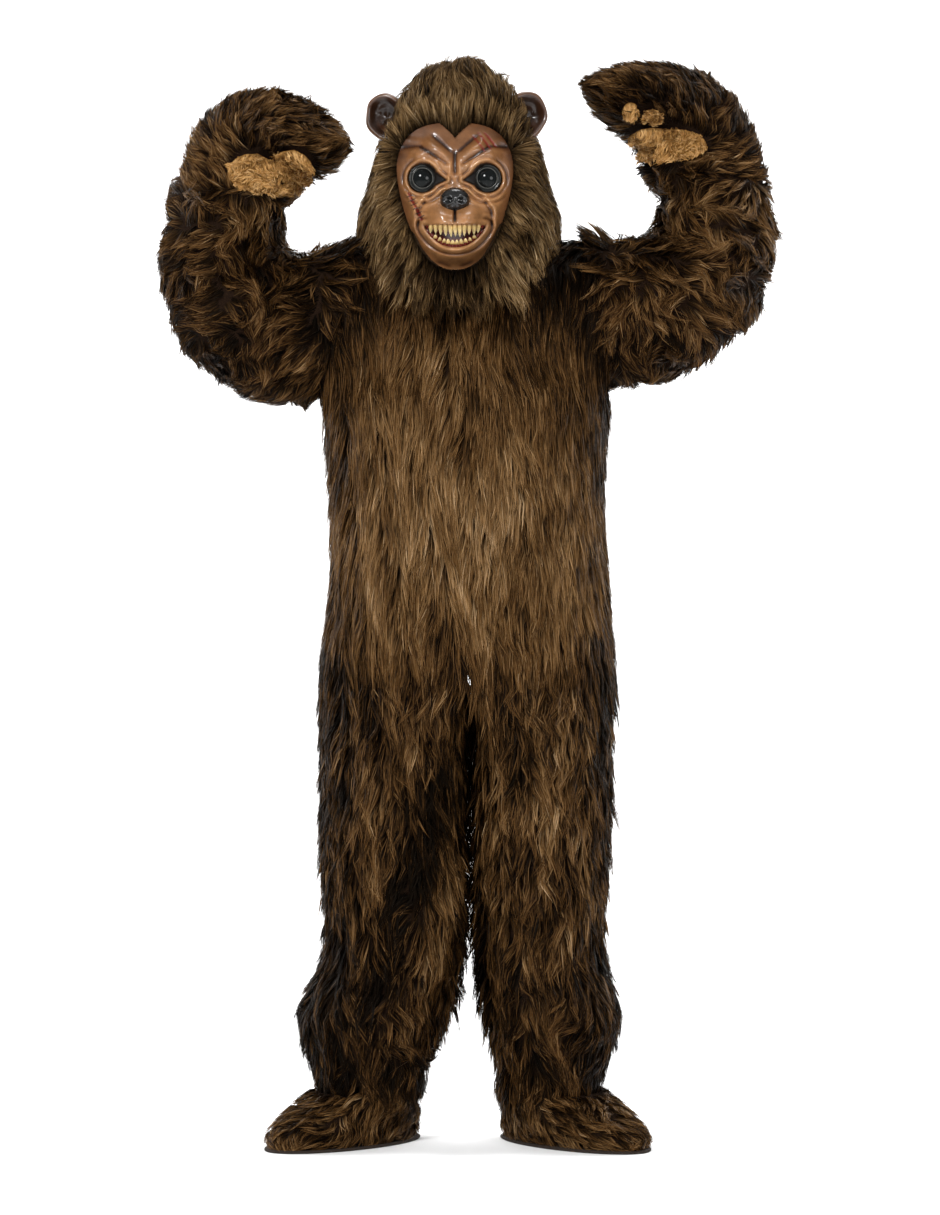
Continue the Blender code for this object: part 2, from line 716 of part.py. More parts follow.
def leg_point(row, share, facing):
    """A point of a leg's section, from the inside-leg seam at share 0 to the side seam at share 1."""
    depth = row["front"] if facing < 0.0 else row["back"]
    if share < LEG_STRAIGHT_PART:
        straight = Vector((row["inner"], depth * share / LEG_STRAIGHT_PART, 0.0))
    else:
        angle = (share - LEG_STRAIGHT_PART) / (1.0 - LEG_STRAIGHT_PART) * math.pi / 2.0
        straight = Vector((blend(row["inner"], row["outer"], math.sin(angle) ** ROUND_X),
                           depth * math.cos(angle) ** ROUND_Y, 0.0))
    middle = (row["inner"] + row["outer"]) / 2.0
    half = (row["inner"] - row["outer"]) / 2.0
    oval = Vector((middle + half * math.cos(share * math.pi), depth * math.sin(share * math.pi), 0.0))
    point = straight.lerp(oval, row["roundness"])
    if share in (0.0, 1.0):
        point.y = 0.0
    point.z = row["height"]
    return point


def leg_core(row, point):
    """The place inside a leg that a point of its wall is thickened towards."""
    middle = (row["inner"] + row["outer"]) / 2.0
    return Vector((middle, min(max(point.y, -LEG_CORE), LEG_CORE), point.z))


def leg_panel(side, facing):
    face = "front" if facing < 0.0 else "back"
    outer_grid = []
    inner_grid = []
    rows = LEG_ROWS[side]
    seam = Vector((0.0, facing * GAP / 2.0, 0.0))
    for number, row in enumerate(rows):
        outer_row = []
        inner_row = []
        for column in range(LEG_COLUMNS_AROUND + 1):
            point = leg_point(row, column / LEG_COLUMNS_AROUND, facing)
            core = leg_core(row, point)
            inside = towards(point, core, FUR_WALL)
            if 1 < column < LEG_COLUMNS_AROUND and 0 < number < len(rows) - 1:
                point = towards(point, core, -body_fold(point, face))
            outer_row.append(point + seam)
            inner_row.append(inside + seam)
        outer_grid.append(outer_row)
        inner_grid.append(inner_row)
    return outer_grid, inner_grid


def make_legs(costume):
    for side in SIDES:
        for face, facing in (("front", -1.0), ("back", 1.0)):
            outer, inner = leg_panel(side, facing)
            add_object("leg_" + side + "_" + face, wall_mesh(outer, inner), costume, "fur_body")


# Boot covers


def boot_ring(side, row, wall=0.0):
    toe_out = math.radians(TOE_OUT[side])
    forward = Vector((SIGN[side] * math.sin(toe_out), -math.cos(toe_out), 0.0))
    across = Vector((-forward.y, forward.x, 0.0))
    middle = Vector((ANKLE_X[side], 0.0, row["height"])) + forward * row["shift"]
    ring = []
    for step in range(BOOT_SIDES):
        angle = 2.0 * math.pi * step / BOOT_SIDES
        lengthwise = forward * ((row["half_length"] - wall) * math.cos(angle))
        sideways = across * ((row["half_width"] - wall) * math.sin(angle))
        ring.append(middle + lengthwise + sideways)
    return ring


def make_boots(costume):
    for side in SIDES:
        outer = [boot_ring(side, row) for row in BOOT_ROWS]
        inner = [boot_ring(side, row, FUR_WALL) for row in BOOT_ROWS]
        add_object("boot_" + side, wall_mesh(outer, inner, closed=True), costume, "fur_body")
        make_sole(side, costume)


def make_sole(side, costume):
    """The flat sole under a boot cover, a plate of the last section's outline."""
    ring = boot_ring(side, BOOT_ROWS[-1])
    shape = bmesh.new()
    face = shape.faces.new([shape.verts.new((point.x, point.y, -SOLE_DROP)) for point in ring])
    lifted = bmesh.ops.extrude_face_region(shape, geom=[face])
    top = [item for item in lifted["geom"] if isinstance(item, bmesh.types.BMVert)]
    bmesh.ops.translate(shape, verts=top, vec=(0.0, 0.0, SOLE_WALL))
    bmesh.ops.recalc_face_normals(shape, faces=shape.faces)
    mesh = bpy.data.meshes.new("sole")
    shape.to_mesh(mesh)
    shape.free()
    add_object("sole_" + side, mesh, costume, "sole_cloth")


# Hood


def hood_point(row, angle, side):
    """A point of the hood, angle in degrees from the front to the back round one side."""
    turn = math.radians(angle)
    depth = -row["front"] if angle < 90.0 else row["back"]
    across = SIGN[side] * row["half_width"] * math.sin(turn)
    if angle < 90.0:
        share = smooth_step((angle - MANE_FRONT_ANGLE) / (MANE_SIDE_ANGLE - MANE_FRONT_ANGLE))
        height = blend(row["front_z"], row["side_z"], share)
    else:
        backward = smooth_step((angle - MANE_BACK_ANGLE) / (180.0 - MANE_BACK_ANGLE))
        height = blend(row["side_z"], row["back_z"], backward)
    return Vector((HOOD_X + across, -depth * math.cos(turn), height))


def hood_grid(side):
    outer_grid = []
    inner_grid = []
    seam = Vector((SIGN[side] * GAP / 2.0, 0.0, 0.0))
    for row in HOOD_ROWS:
        outer_row = []
        inner_row = []
        for column in range(HOOD_COLUMNS):
            point = hood_point(row, 180.0 * column / (HOOD_COLUMNS - 1), side)
            core = Vector((HOOD_X, 0.0, min(point.z, HOOD_CORE_TOP)))
            outer_row.append(point + seam)
            inner_row.append(towards(point, core, FUR_WALL) + seam)
        outer_grid.append(outer_row)
        inner_grid.append(inner_row)
    return outer_grid, inner_grid


# Face mask


def outline_reach(angle):
    """Distance from the middle of the face to its outline, angle in radians from straight up."""
    direction = Vector((abs(math.sin(angle)), math.cos(angle)))
    outline = [Vector((row["half_width"], row["height"] - FACE_Z)) for row in FACE_OUTLINE]
    for start, end in zip(outline, outline[1:]):
        edge = end - start
        across = direction.x * edge.y - direction.y * edge.x
        if abs(across) < 1e-12:
            continue
        reach = (start.x * edge.y - start.y * edge.x) / across
        share = (start.x * direction.y - start.y * direction.x) / across
        if reach > 0.0 and -1e-6 <= share <= 1.0 + 1e-6:
            return reach
    return 0.0


def soft_outline_reach(angle):
    """The outline's distance, averaged over nearby angles so that its corners are round."""
    spread = [math.radians(FACE_CORNER_SPREAD * part) for part in (-1.0, -0.5, 0.0, 0.5, 1.0)]
    return sum(outline_reach(angle + step) for step in spread) / len(spread)


def face_depth(across, height, ring):
    """Y of the mask at a place from the middle of the face, ring 0 in the middle and 1 at its edge."""
    depth = FACE_EDGE_Y - FACE_DOME * (1.0 - ring * ring)
    fade = smooth_step((1.0 - ring) / FACE_RIM_SHARE)
    for form in FACE_FORMS:
        for mirror in ((1.0,) if form["x"] == 0.0 else (1.0, -1.0)):
            side = (across - mirror * form["x"]) / form["size_x"]
            rise = (height - form["z"]) / form["size_z"]
            depth -= form["rise"] * fade * math.exp(-side * side - rise * rise)
    return depth


def face_depth_at(across, height):
    """Y of the mask straight in front of a place."""
    angle = math.atan2(across, height - FACE_Z)
    ring = math.hypot(across, height - FACE_Z) / soft_outline_reach(angle)
    return face_depth(across, height, min(ring, 1.0))


def face_grid():
    """The mask's outer grid, rings from the middle to the edge."""
    grid = []
    for ring in range(FACE_RINGS + 1):
        share = ring / FACE_RINGS
        row = []
        for step in range(FACE_STEPS):
            angle = 2.0 * math.pi * step / FACE_STEPS
            reach = soft_outline_reach(angle) * share
            across = reach * math.sin(angle)
            height = FACE_Z + reach * math.cos(angle)
            row.append(Vector((FACE_X + across, face_depth(across, height, share), height)))
        grid.append(row)
    return grid


def prism_mesh(outline, front, back):
    """A closed prism along Y through the points of an outline in the XZ plane."""
    shape = bmesh.new()
    face = shape.faces.new([shape.verts.new((point.x, front, point.y)) for point in outline])
    moved = bmesh.ops.extrude_face_region(shape, geom=[face])
    far = [item for item in moved["geom"] if isinstance(item, bmesh.types.BMVert)]
    bmesh.ops.translate(shape, verts=far, vec=(0.0, back - front, 0.0))
    bmesh.ops.recalc_face_normals(shape, faces=shape.faces)
    mesh = bpy.data.meshes.new("prism")
    shape.to_mesh(mesh)
    shape.free()
    return mesh


def ball_mesh(size, place, segments=16, rings=10, lean=0.0, turn=0.0):
    """An ellipsoid of three half sizes, leaned about Y and turned about Z in degrees."""
    shape = bmesh.new()
    bmesh.ops.create_uvsphere(shape, u_segments=segments, v_segments=rings, radius=1.0)
    bmesh.ops.scale(shape, verts=shape.verts, vec=size)
    mesh = bpy.data.meshes.new("ball")
    shape.to_mesh(mesh)
    shape.free()
    leaning = Vector((0.0, 1.0, 0.0))
    for vertex in mesh.vertices:
        point = vertex.co.copy()
        point.rotate(rotation(leaning, lean))
        point.rotate(rotation(Vector((0.0, 0.0, 1.0)), turn))
        vertex.co = point + Vector(place)
    return mesh


def rotation(axis, degrees):
    return Quaternion(axis, math.radians(degrees))


def mouth_edges(share, margin):
    """Top and bottom height of the mouth at a share of its half width, pulled in by a margin."""
    bulge = max(1.0 - share * share, 0.0)
    top = MOUTH_CORNER_Z - MOUTH_TOP_SAG * bulge - margin
    bottom = MOUTH_CORNER_Z - MOUTH_BOTTOM_SAG * bulge ** MOUTH_BOTTOM_ROUNDNESS - MOUTH_CORNER_HEIGHT + margin
    return top, bottom


def mouth_outline():
    shares = [-1.0 + 2.0 * step / MOUTH_STEPS for step in range(MOUTH_STEPS + 1)]
    top = [Vector((FACE_X + share * MOUTH_HALF_WIDTH, mouth_edges(share, 0.0)[0])) for share in shares]
    low = [Vector((FACE_X + share * MOUTH_HALF_WIDTH, mouth_edges(share, 0.0)[1])) for share in shares]
    return top + low[::-1]


def eye_place(side):
    across = SIGN[side] * EYE_X
    return Vector((FACE_X + across, face_depth_at(across, EYE_Z) + EYE_SINK, EYE_Z))


def make_mask(costume, cutters):
    outer = face_grid()
    inner = [[point + Vector((0.0, LATEX_WALL, 0.0)) for point in row] for row in outer]
    mask = add_object("mask_face", wall_mesh(outer, inner, closed=True), costume, "latex")
    for side in SIDES:
        place = eye_place(side)
        radius = EYE_RADIUS
        hole = ball_mesh((radius + GAP,) * 3, place)
        cut(mask, add_cutter("eye_hole_" + side, hole, cutters))
        add_object("eye_" + side, ball_mesh((radius,) * 3, place), costume, "black_gloss")
    nose_place = Vector((FACE_X, face_depth_at(0.0, NOSE_Z) - NOSE_LIFT, NOSE_Z))
    seat = ball_mesh([half + GAP for half in NOSE_SIZE], nose_place)
    cut(mask, add_cutter("nose_seat", seat, cutters))
    add_object("nose", ball_mesh(NOSE_SIZE, nose_place), costume, "black_gloss")
    cut(mask, add_cutter("mouth_slit", prism_mesh(mouth_outline(), FRONT_OF_ALL, MOUTH_CUT_BACK), cutters))
    make_teeth(costume, cutters)


def mouth_depth(across):
    """Y of the mask's wall along the mouth."""
    return face_depth_at(across, MOUTH_CORNER_Z - MOUTH_BOTTOM_SAG / 2.0)


def make_teeth(costume, cutters):
    """A gum plate that fills the mouth slit, with the teeth standing on its front."""
    outer = []
    inner = []
    for step in range(1, MOUTH_STEPS):
        share = -1.0 + 2.0 * step / MOUTH_STEPS
        across = share * MOUTH_HALF_WIDTH
        top, low = mouth_edges(share, GAP)
        front = mouth_depth(across) + GUM_SINK
        levels = [blend(top, low, part / 2.0) for part in range(3)]
        outer.append([Vector((FACE_X + across, front, level)) for level in levels])
        inner.append([Vector((FACE_X + across, front + GUM_WALL, level)) for level in levels])
    plate = add_object("teeth_and_gums", wall_mesh(outer, inner), costume, "tooth")
    shape = bmesh.new()
    for teeth in TEETH:
        for number in range(teeth["count"]):
            add_tooth(shape, teeth, number)
    mesh = bpy.data.meshes.new("teeth")
    shape.to_mesh(mesh)
    shape.free()
    cut(plate, add_cutter("teeth", mesh, cutters), "UNION")


def add_tooth(shape, teeth, number):
    """One pointed tooth. It stands in the gum plate and is longest in the middle of the mouth."""
    upper = teeth["row"] == "upper"
    share = ((number + 0.5) / teeth["count"] - 0.5) * teeth["spread"]
    across = share * MOUTH_HALF_WIDTH
    radius = MOUTH_HALF_WIDTH * teeth["spread"] / teeth["count"] * TOOTH_FILL
    sides = (share - radius / MOUTH_HALF_WIDTH, share + radius / MOUTH_HALF_WIDTH)
    top = min(mouth_edges(side, 2.0 * GAP)[0] for side in sides)
    low = max(mouth_edges(side, 2.0 * GAP)[1] for side in sides)
    span = (top - low) * teeth["length"]
    root = top if upper else low
    turn = 180.0 if upper else 0.0
    tooth = bmesh.ops.create_cone(shape, cap_ends=True, segments=4, radius1=radius,
                                  radius2=TOOTH_SHARPNESS, depth=span)
    middle = root - span / 2.0 if upper else root + span / 2.0
    place = Vector((FACE_X + across, mouth_depth(across) + TOOTH_SINK, middle))
    for vertex in tooth["verts"]:
        vertex.co.rotate(rotation(Vector((1.0, 0.0, 0.0)), turn))
        vertex.co = vertex.co + place


# Hood with its openings, and ears


def make_hood(costume, cutters):
    steps = FACE_STEPS
    outline = []
    for step in range(steps):
        angle = 2.0 * math.pi * step / steps
        reach = soft_outline_reach(angle) + 2.0 * GAP
        outline.append(Vector((FACE_X + reach * math.sin(angle), FACE_Z + reach * math.cos(angle))))
    face_hole = add_cutter("face_hole", prism_mesh(outline, FRONT_OF_ALL, HOOD_CUT_BACK), cutters)
    for side in SIDES:
        outer, inner = hood_grid(side)
        hood = add_object("hood_" + side, wall_mesh(outer, inner), costume, "fur_hood")
        cut(hood, face_hole)
        lean = SIGN[side] * EAR_LEAN
        turn = SIGN[side] * EAR_TURN
        place = EAR_PLACE[side]
        seat = ball_mesh([half + GAP for half in EAR_SIZE], place, lean=lean, turn=turn)
        cut(hood, add_cutter("ear_seat_" + side, seat, cutters))
        ear = add_object("ear_" + side, ball_mesh(EAR_SIZE, place, lean=lean, turn=turn), costume, "latex")
        outward, forward, upward = EAR_BOWL_SHIFT
        bowl_place = Vector(place) + Vector((SIGN[side] * outward, forward, upward))
        bowl_size = [size * share for size, share in zip(EAR_SIZE, EAR_BOWL_SHARE)]
        bowl = ball_mesh(bowl_size, bowl_place, lean=lean, turn=turn)
        cut(ear, add_cutter("ear_bowl_" + side, bowl, cutters))


def main():
    clear_scene()
    costume = make_collection("bear_costume")
    cutters = make_collection("cutters")
    make_body(costume)
    make_legs(costume)
    make_sleeves(costume)
    make_mitts(costume, cutters)
    make_boots(costume)
    make_hood(costume, cutters)
    make_mask(costume, cutters)


main()
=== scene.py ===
"""Looks of the bear costume: fur grown on its cloth, painted latex mask, plush palms and felt soles."""
import math

import bpy
import numpy as np
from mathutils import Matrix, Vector
from mathutils.bvhtree import BVHTree
from mathutils.kdtree import KDTree


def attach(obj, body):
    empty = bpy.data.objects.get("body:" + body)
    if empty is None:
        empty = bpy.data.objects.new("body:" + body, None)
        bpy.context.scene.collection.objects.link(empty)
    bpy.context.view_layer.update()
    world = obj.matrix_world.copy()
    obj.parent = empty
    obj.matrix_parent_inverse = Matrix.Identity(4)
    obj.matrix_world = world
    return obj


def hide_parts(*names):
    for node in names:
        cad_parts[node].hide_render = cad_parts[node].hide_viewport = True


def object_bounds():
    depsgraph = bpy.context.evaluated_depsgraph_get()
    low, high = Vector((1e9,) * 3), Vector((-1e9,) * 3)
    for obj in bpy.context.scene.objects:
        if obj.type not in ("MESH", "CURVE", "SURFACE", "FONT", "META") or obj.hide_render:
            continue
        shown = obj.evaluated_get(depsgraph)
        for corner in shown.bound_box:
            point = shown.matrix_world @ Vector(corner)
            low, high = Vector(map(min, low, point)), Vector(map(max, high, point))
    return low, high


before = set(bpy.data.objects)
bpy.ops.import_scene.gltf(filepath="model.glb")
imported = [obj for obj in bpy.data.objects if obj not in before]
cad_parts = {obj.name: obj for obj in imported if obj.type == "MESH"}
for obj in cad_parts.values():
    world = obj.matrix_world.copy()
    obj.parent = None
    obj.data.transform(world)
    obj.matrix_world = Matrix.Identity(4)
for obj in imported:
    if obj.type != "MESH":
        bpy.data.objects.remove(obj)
cad_low, cad_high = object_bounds()

SIDES = ("left", "right")
SIGN = {"left": -1.0, "right": 1.0}
MAP = "OFBake"
DOWN = (0.0, 0.0, -1.0)

# Depth of the knitted backing under the fur's outer side, for fur and for the pads' short pile
CLOTH_DEPTH = 0.014
PAD_DEPTH = 0.004
# The least that an outer face turns away from the middle of its limb, as a cosine
OUTER_FACING = 0.30
PAD_FACING = 0.24


def table(columns, *rows):
    """Rows of a table as dictionaries, one value for each named column."""
    names = columns.split()
    return [dict(zip(names, row)) for row in rows]


# Middle lines of the limbs: sleeves by x and z, legs by height and x, mitts by x, y and z
SLEEVE_LINES = {
    "left": ((-0.218, -0.058), (-0.291, -0.077), (-0.368, -0.057), (-0.418, 0.002), (-0.427, 0.073),
             (-0.413, 0.140), (-0.397, 0.170)),
    "right": ((0.225, -0.052), (0.300, -0.048), (0.369, -0.017), (0.413, 0.036), (0.423, 0.100),
              (0.411, 0.167), (0.398, 0.199)),
}
LEG_LINES = {
    "left": ((-0.68, -0.132), (-1.13, -0.129), (-1.265, -0.168), (-1.383, -0.170)),
    "right": ((-0.68, 0.128), (-1.13, 0.119), (-1.265, 0.1445), (-1.383, 0.1365)),
}
MITT_LINES = {
    "left": ((-0.3975, 0.000, 0.170), (-0.389, -0.003, 0.198), (-0.370, -0.008, 0.227),
             (-0.337, -0.026, 0.245), (-0.298, -0.055, 0.246), (-0.263, -0.087, 0.239),
             (-0.238, -0.112, 0.231), (-0.221, -0.124, 0.228)),
    "right": ((0.398, 0.000, 0.199), (0.391, -0.001, 0.232), (0.371, -0.008, 0.269),
              (0.341, -0.024, 0.292), (0.302, -0.053, 0.303), (0.261, -0.089, 0.310),
              (0.228, -0.119, 0.319), (0.205, -0.135, 0.3225)),
}
# X of the ankle, and how far the foot turns out in degrees
BOOT_PLACE = {"left": (-0.172, 47.0), "right": (0.1365, 44.0)}
# How far the boot's middle moves forward from the cuff down, and half the length of its straight part
BOOT_HEIGHTS = (1.383, 1.434, 1.464)
BOOT_SHIFTS = (0.0, 0.05, 0.063)
BOOT_HALF = 0.07
# Half width and top of the body's flat core, half depth of a leg's, and top of the hood's
TORSO_CORE = (0.085, -0.03)
LEG_CORE = 0.025
HOOD_TOP = 0.23
HOOD_X = -0.019
FACE_X = -0.0255
FACE_Z = 0.130


def unit(vectors):
    """Vectors of length 1 in the same directions."""
    length = np.linalg.norm(vectors, axis=-1, keepdims=True)
    return vectors / np.maximum(length, 1e-12)


def smooth_step(amount):
    """0 below 0 and 1 above 1, with a soft change between."""
    amount = np.clip(amount, 0.0, 1.0)
    return amount * amount * (3.0 - 2.0 * amount)


def turned(side):
    """The way that a boot points."""
    angle = math.radians(BOOT_PLACE[side][1])
    return np.array((SIGN[side] * math.sin(angle), -math.cos(angle), 0.0))


def face_crosses(points, corners):
    """Cross product of two edges of each triangle, twice as long as its area."""
    a, b, c = (points[corners[:, k]] for k in range(3))
    return np.cross(b - a, c - a)


def ring_faces(rings, steps, start=0):
    """Quads between closed rings of points."""
    return [(start + ring * steps + step, start + ring * steps + (step + 1) % steps,
             start + (ring + 1) * steps + (step + 1) % steps, start + (ring + 1) * steps + step)
            for ring in range(rings - 1) for step in range(steps)]


def point_tree(points):
    """A search tree in which each point has its own number."""
    tree = KDTree(len(points))
    for number, point in enumerate(points):
        tree.insert(point, number)
    tree.balance()
    return tree


def segment_distance(across, height, ends):
    """Distance from a straight line between two ends, and the share of the line at the nearest point."""
    start = np.array(ends[:2])
    run = np.array(ends[2:]) - start
    place = np.stack([across, height], 1) - start
    share = np.clip((place @ run) / (run @ run), 0.0, 1.0)
    return np.linalg.norm(place - share[:, None] * run, axis=1), share


def nearest_on_line(points, line):
    """The nearest point of a line of points, and the line's direction there."""
    line = np.array(line, float)
    best = np.full(len(points), 1e9)
    place = np.zeros((len(points), line.shape[1]))
    heading = np.zeros_like(place)
    for start, end in zip(line[:-1], line[1:]):
        run = end - start
        share = np.clip(((points - start) @ run) / (run @ run), 0.0, 1.0)
        spot = start + share[:, None] * run
        distance = np.linalg.norm(points - spot, axis=1)
        closer = distance < best
        best[closer] = distance[closer]
        place[closer] = spot[closer]
        heading[closer] = unit(run)
    return place, heading


def kind_of(node):
    """What a node belongs to, and its side."""
    words = node.split("_")
    side = "left" if "left" in words else "right"
    return words[0], side


def core_of(points, kind, side):
    """The place inside that each point faces away from, and the limb's direction there."""
    x, y, z = points.T
    none = np.zeros_like(x)
    down = np.tile(DOWN, (len(points), 1))
    if kind == "torso":
        half, top = TORSO_CORE
        return np.stack([np.clip(x, -half, half), none, np.minimum(z, top)], 1), down
    if kind == "leg":
        heights, across = np.array(LEG_LINES[side]).T
        middle = np.interp(-z, -heights, across)
        return np.stack([middle, np.clip(y, -LEG_CORE, LEG_CORE), z], 1), down
    if kind == "sleeve":
        place, heading = nearest_on_line(np.stack([x, z], 1), SLEEVE_LINES[side])
        return (np.stack([place[:, 0], none, place[:, 1]], 1),
                np.stack([heading[:, 0], none, heading[:, 1]], 1))
    if kind in ("mitt", "palm", "finger"):
        return nearest_on_line(points, MITT_LINES[side])
    if kind == "boot":
        ankle = np.array((BOOT_PLACE[side][0], 0.0, 0.0))
        forward = turned(side)
        shift = np.interp(-z, BOOT_HEIGHTS, BOOT_SHIFTS)
        along = (points - ankle) @ forward - shift
        middle = ankle + forward * (shift + np.clip(along, -BOOT_HALF, BOOT_HALF))[:, None]
        middle[:, 2] = z
        return middle, np.tile(forward, (len(points), 1))
    return np.stack([none + HOOD_X, none, np.minimum(z, HOOD_TOP)], 1), down


def surface(node):
    """The outer side of a wall: its points, and its triangles."""
    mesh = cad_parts[node].data
    mesh.calc_loop_triangles()
    points = np.empty(len(mesh.vertices) * 3)
    mesh.vertices.foreach_get("co", points)
    points = points.reshape(-1, 3)
    corners = np.empty(len(mesh.loop_triangles) * 3, np.int32)
    mesh.loop_triangles.foreach_get("vertices", corners)
    corners = corners.reshape(-1, 3)
    normals = unit(face_crosses(points, corners))
    centres = points[corners].sum(1) / 3.0
    kind, side = kind_of(node)
    core, _ = core_of(centres, kind, side)
    least = PAD_FACING if kind in ("palm", "finger") else OUTER_FACING
    faces_out = np.einsum("ij,ij->i", normals, unit(centres - core)) > least
    corners = corners[faces_out]
    used, corners = np.unique(corners, return_inverse=True)
    return points[used], corners.reshape(-1, 3)


WAVES = 10
WAVE_SPREAD = (0.7, 1.5)


def wave_field(seed, length):
    """A smooth random field of vectors, with waves of about one length."""
    own = np.random.default_rng(seed)
    ways = unit(own.normal(size=(WAVES, 3)))
    waves = ways * (2.0 * math.pi / (length * own.uniform(*WAVE_SPREAD, (WAVES, 1))))
    starts = own.uniform(0.0, 2.0 * math.pi, (3, WAVES))
    sizes = own.normal(size=(3, WAVES)) / math.sqrt(WAVES)

    def field(points):
        phase = points @ waves.T
        return np.stack([(sizes[k] * np.sin(phase + starts[k])).sum(1) for k in range(3)], 1)

    return field


long_waves = wave_field(3, 0.16)
short_waves = wave_field(4, 0.055)
tone_waves = wave_field(5, 0.10)
fine_tones = wave_field(6, 0.030)
streaks = wave_field(7, 0.048)
STREAK_STRETCH = np.array((1.0, 1.0, 0.22))
# How far long and short waves bend each kind's pile, and how much more they do at a leg's lower end
FLOW_WAVES = {"torso": (0.10, 0.16), "leg": (0.12, 0.22), "sleeve": (0.50, 0.45), "mitt": (0.20, 0.25),
              "palm": (0.00, 0.80), "boot": (0.35, 0.35), "hood": (0.18, 0.22)}
LOW_LEG_WAVES = (0.15, 0.22)
# Height where a leg's lower end starts, and the height over which it sets in
LOW_LEG = (-0.95, 0.35)
# How far round the armhole a sleeve's pile lies back over the seam
ARMHOLE_REACH = 0.07


def flow_of(points, normals, kind, side):
    """The way the pile lies: a direction along the cloth."""
    middle, heading = core_of(points, kind, side)
    down = np.tile(DOWN, (len(points), 1))
    long_share, short_share = FLOW_WAVES[kind]
    if kind == "torso":
        flow = down
    elif kind == "leg":
        start, run = LOW_LEG
        low = smooth_step((start - points[:, 2]) / run)[:, None]
        long_share = long_share + LOW_LEG_WAVES[0] * low
        short_share = short_share + LOW_LEG_WAVES[1] * low
        flow = down
    elif kind == "sleeve":
        across, height = SLEEVE_LINES[side][0]
        away = np.linalg.norm(middle - (across, 0.0, height), axis=1)
        near = smooth_step(1.0 - away / ARMHOLE_REACH)[:, None]
        long_share = long_share * (1.0 - 0.5 * near)
        short_share = short_share * (1.0 - 0.5 * near)
        flow = heading * (0.45 - 0.95 * near) + down * 0.75
    elif kind == "mitt":
        centre = np.array(MITT_LINES[side][3]) + (0.0, -0.05, -0.05)
        flow = unit(points - centre) * 0.8 + heading * 0.55
    elif kind == "palm":
        flow = down * 0.6 + heading * 0.3 + fine_tones(points) * 0.7
    elif kind == "boot":
        flow = heading * 0.75 + down * 0.55
    else:
        radial = points - (FACE_X, 0.0, FACE_Z + 0.03)
        radial[:, 1] = 0.0
        front = smooth_step((0.02 - points[:, 1]) / 0.08)[:, None]
        high = smooth_step((points[:, 2] - 0.19) / 0.07)[:, None]
        upward = np.array((0.0, 0.0, 1.0)) + unit(radial) * 0.25
        side_way = unit(radial) * (0.75 * front) + down * (1.0 - 0.25 * front)
        back_way = down + (0.0, 0.35, 0.0)
        flow = upward * (high * front) + side_way * ((1.0 - high) * front) + back_way * (1.0 - front)
    flow = flow + long_waves(points) * long_share + short_waves(points) * short_share
    flow = flow - normals * np.einsum("ij,ij->i", flow, normals)[:, None]
    return unit(flow)


# Pile: length, lift from the cloth at the root and the tip in degrees, reach past the fur's outer side,
# how far strands draw together into locks, strand width, strands for each square metre of front and back
# panels, and points along each strand
PILE = {
    "torso": dict(length=0.092, rise=26.0, fall=3.0, reach=0.004, lock=0.50, wild=0.07, width=0.0016,
                  front=98000.0, back=56000.0, points=3),
    "leg": dict(length=0.082, rise=36.0, fall=8.0, reach=0.003, lock=0.88, wild=0.18, width=0.0017,
                front=78000.0, back=50000.0, points=3),
    "sleeve": dict(length=0.068, rise=46.0, fall=18.0, reach=0.003, lock=0.86, wild=0.18, width=0.0016,
                   front=92000.0, back=62000.0, points=3),
    "mitt": dict(length=0.056, rise=52.0, fall=30.0, reach=0.003, lock=0.88, wild=0.18, width=0.0015,
                 front=110000.0, back=80000.0, points=3),
    "boot": dict(length=0.054, rise=38.0, fall=6.0, reach=0.000, lock=0.84, wild=0.18, width=0.0017,
                 front=74000.0, back=74000.0, points=3),
    "hood": dict(length=0.074, rise=42.0, fall=12.0, reach=0.001, lock=0.76, wild=0.13, width=0.0015,
                 front=88000.0, back=88000.0, points=4),
    "palm": dict(length=0.016, rise=58.0, fall=24.0, reach=0.005, lock=0.55, wild=0.16, width=0.0016,
                 front=300000.0, back=300000.0, points=3),
}
# Places where the fur stands out further: reach at the middle, and the place's half size
TUFTS = table(
    "x y z size reach",
    (0.222, 0.000, 0.085, 0.050, 0.022),
    (0.190, -0.040, 0.080, 0.045, 0.016),
    (-0.245, 0.000, -0.300, 0.060, 0.016),
    (-0.018, 0.000, -1.215, 0.055, 0.024),
    (0.016, 0.000, -1.215, 0.055, 0.022),
    (-0.006, 0.000, -1.150, 0.050, 0.014),
    (0.000, 0.000, -1.070, 0.060, 0.008),
    (0.000, 0.000, -0.990, 0.060, 0.008),
    (0.000, 0.000, -0.910, 0.060, 0.008),
    (0.000, 0.000, -0.830, 0.060, 0.008),
    (0.000, 0.000, -0.750, 0.060, 0.010),
    (0.000, 0.000, -0.700, 0.050, 0.014),
    (0.016, -0.010, -1.240, 0.040, 0.010),
    (0.230, 0.000, -0.860, 0.070, 0.005),
    (0.050, -0.060, -1.400, 0.045, 0.012),
)
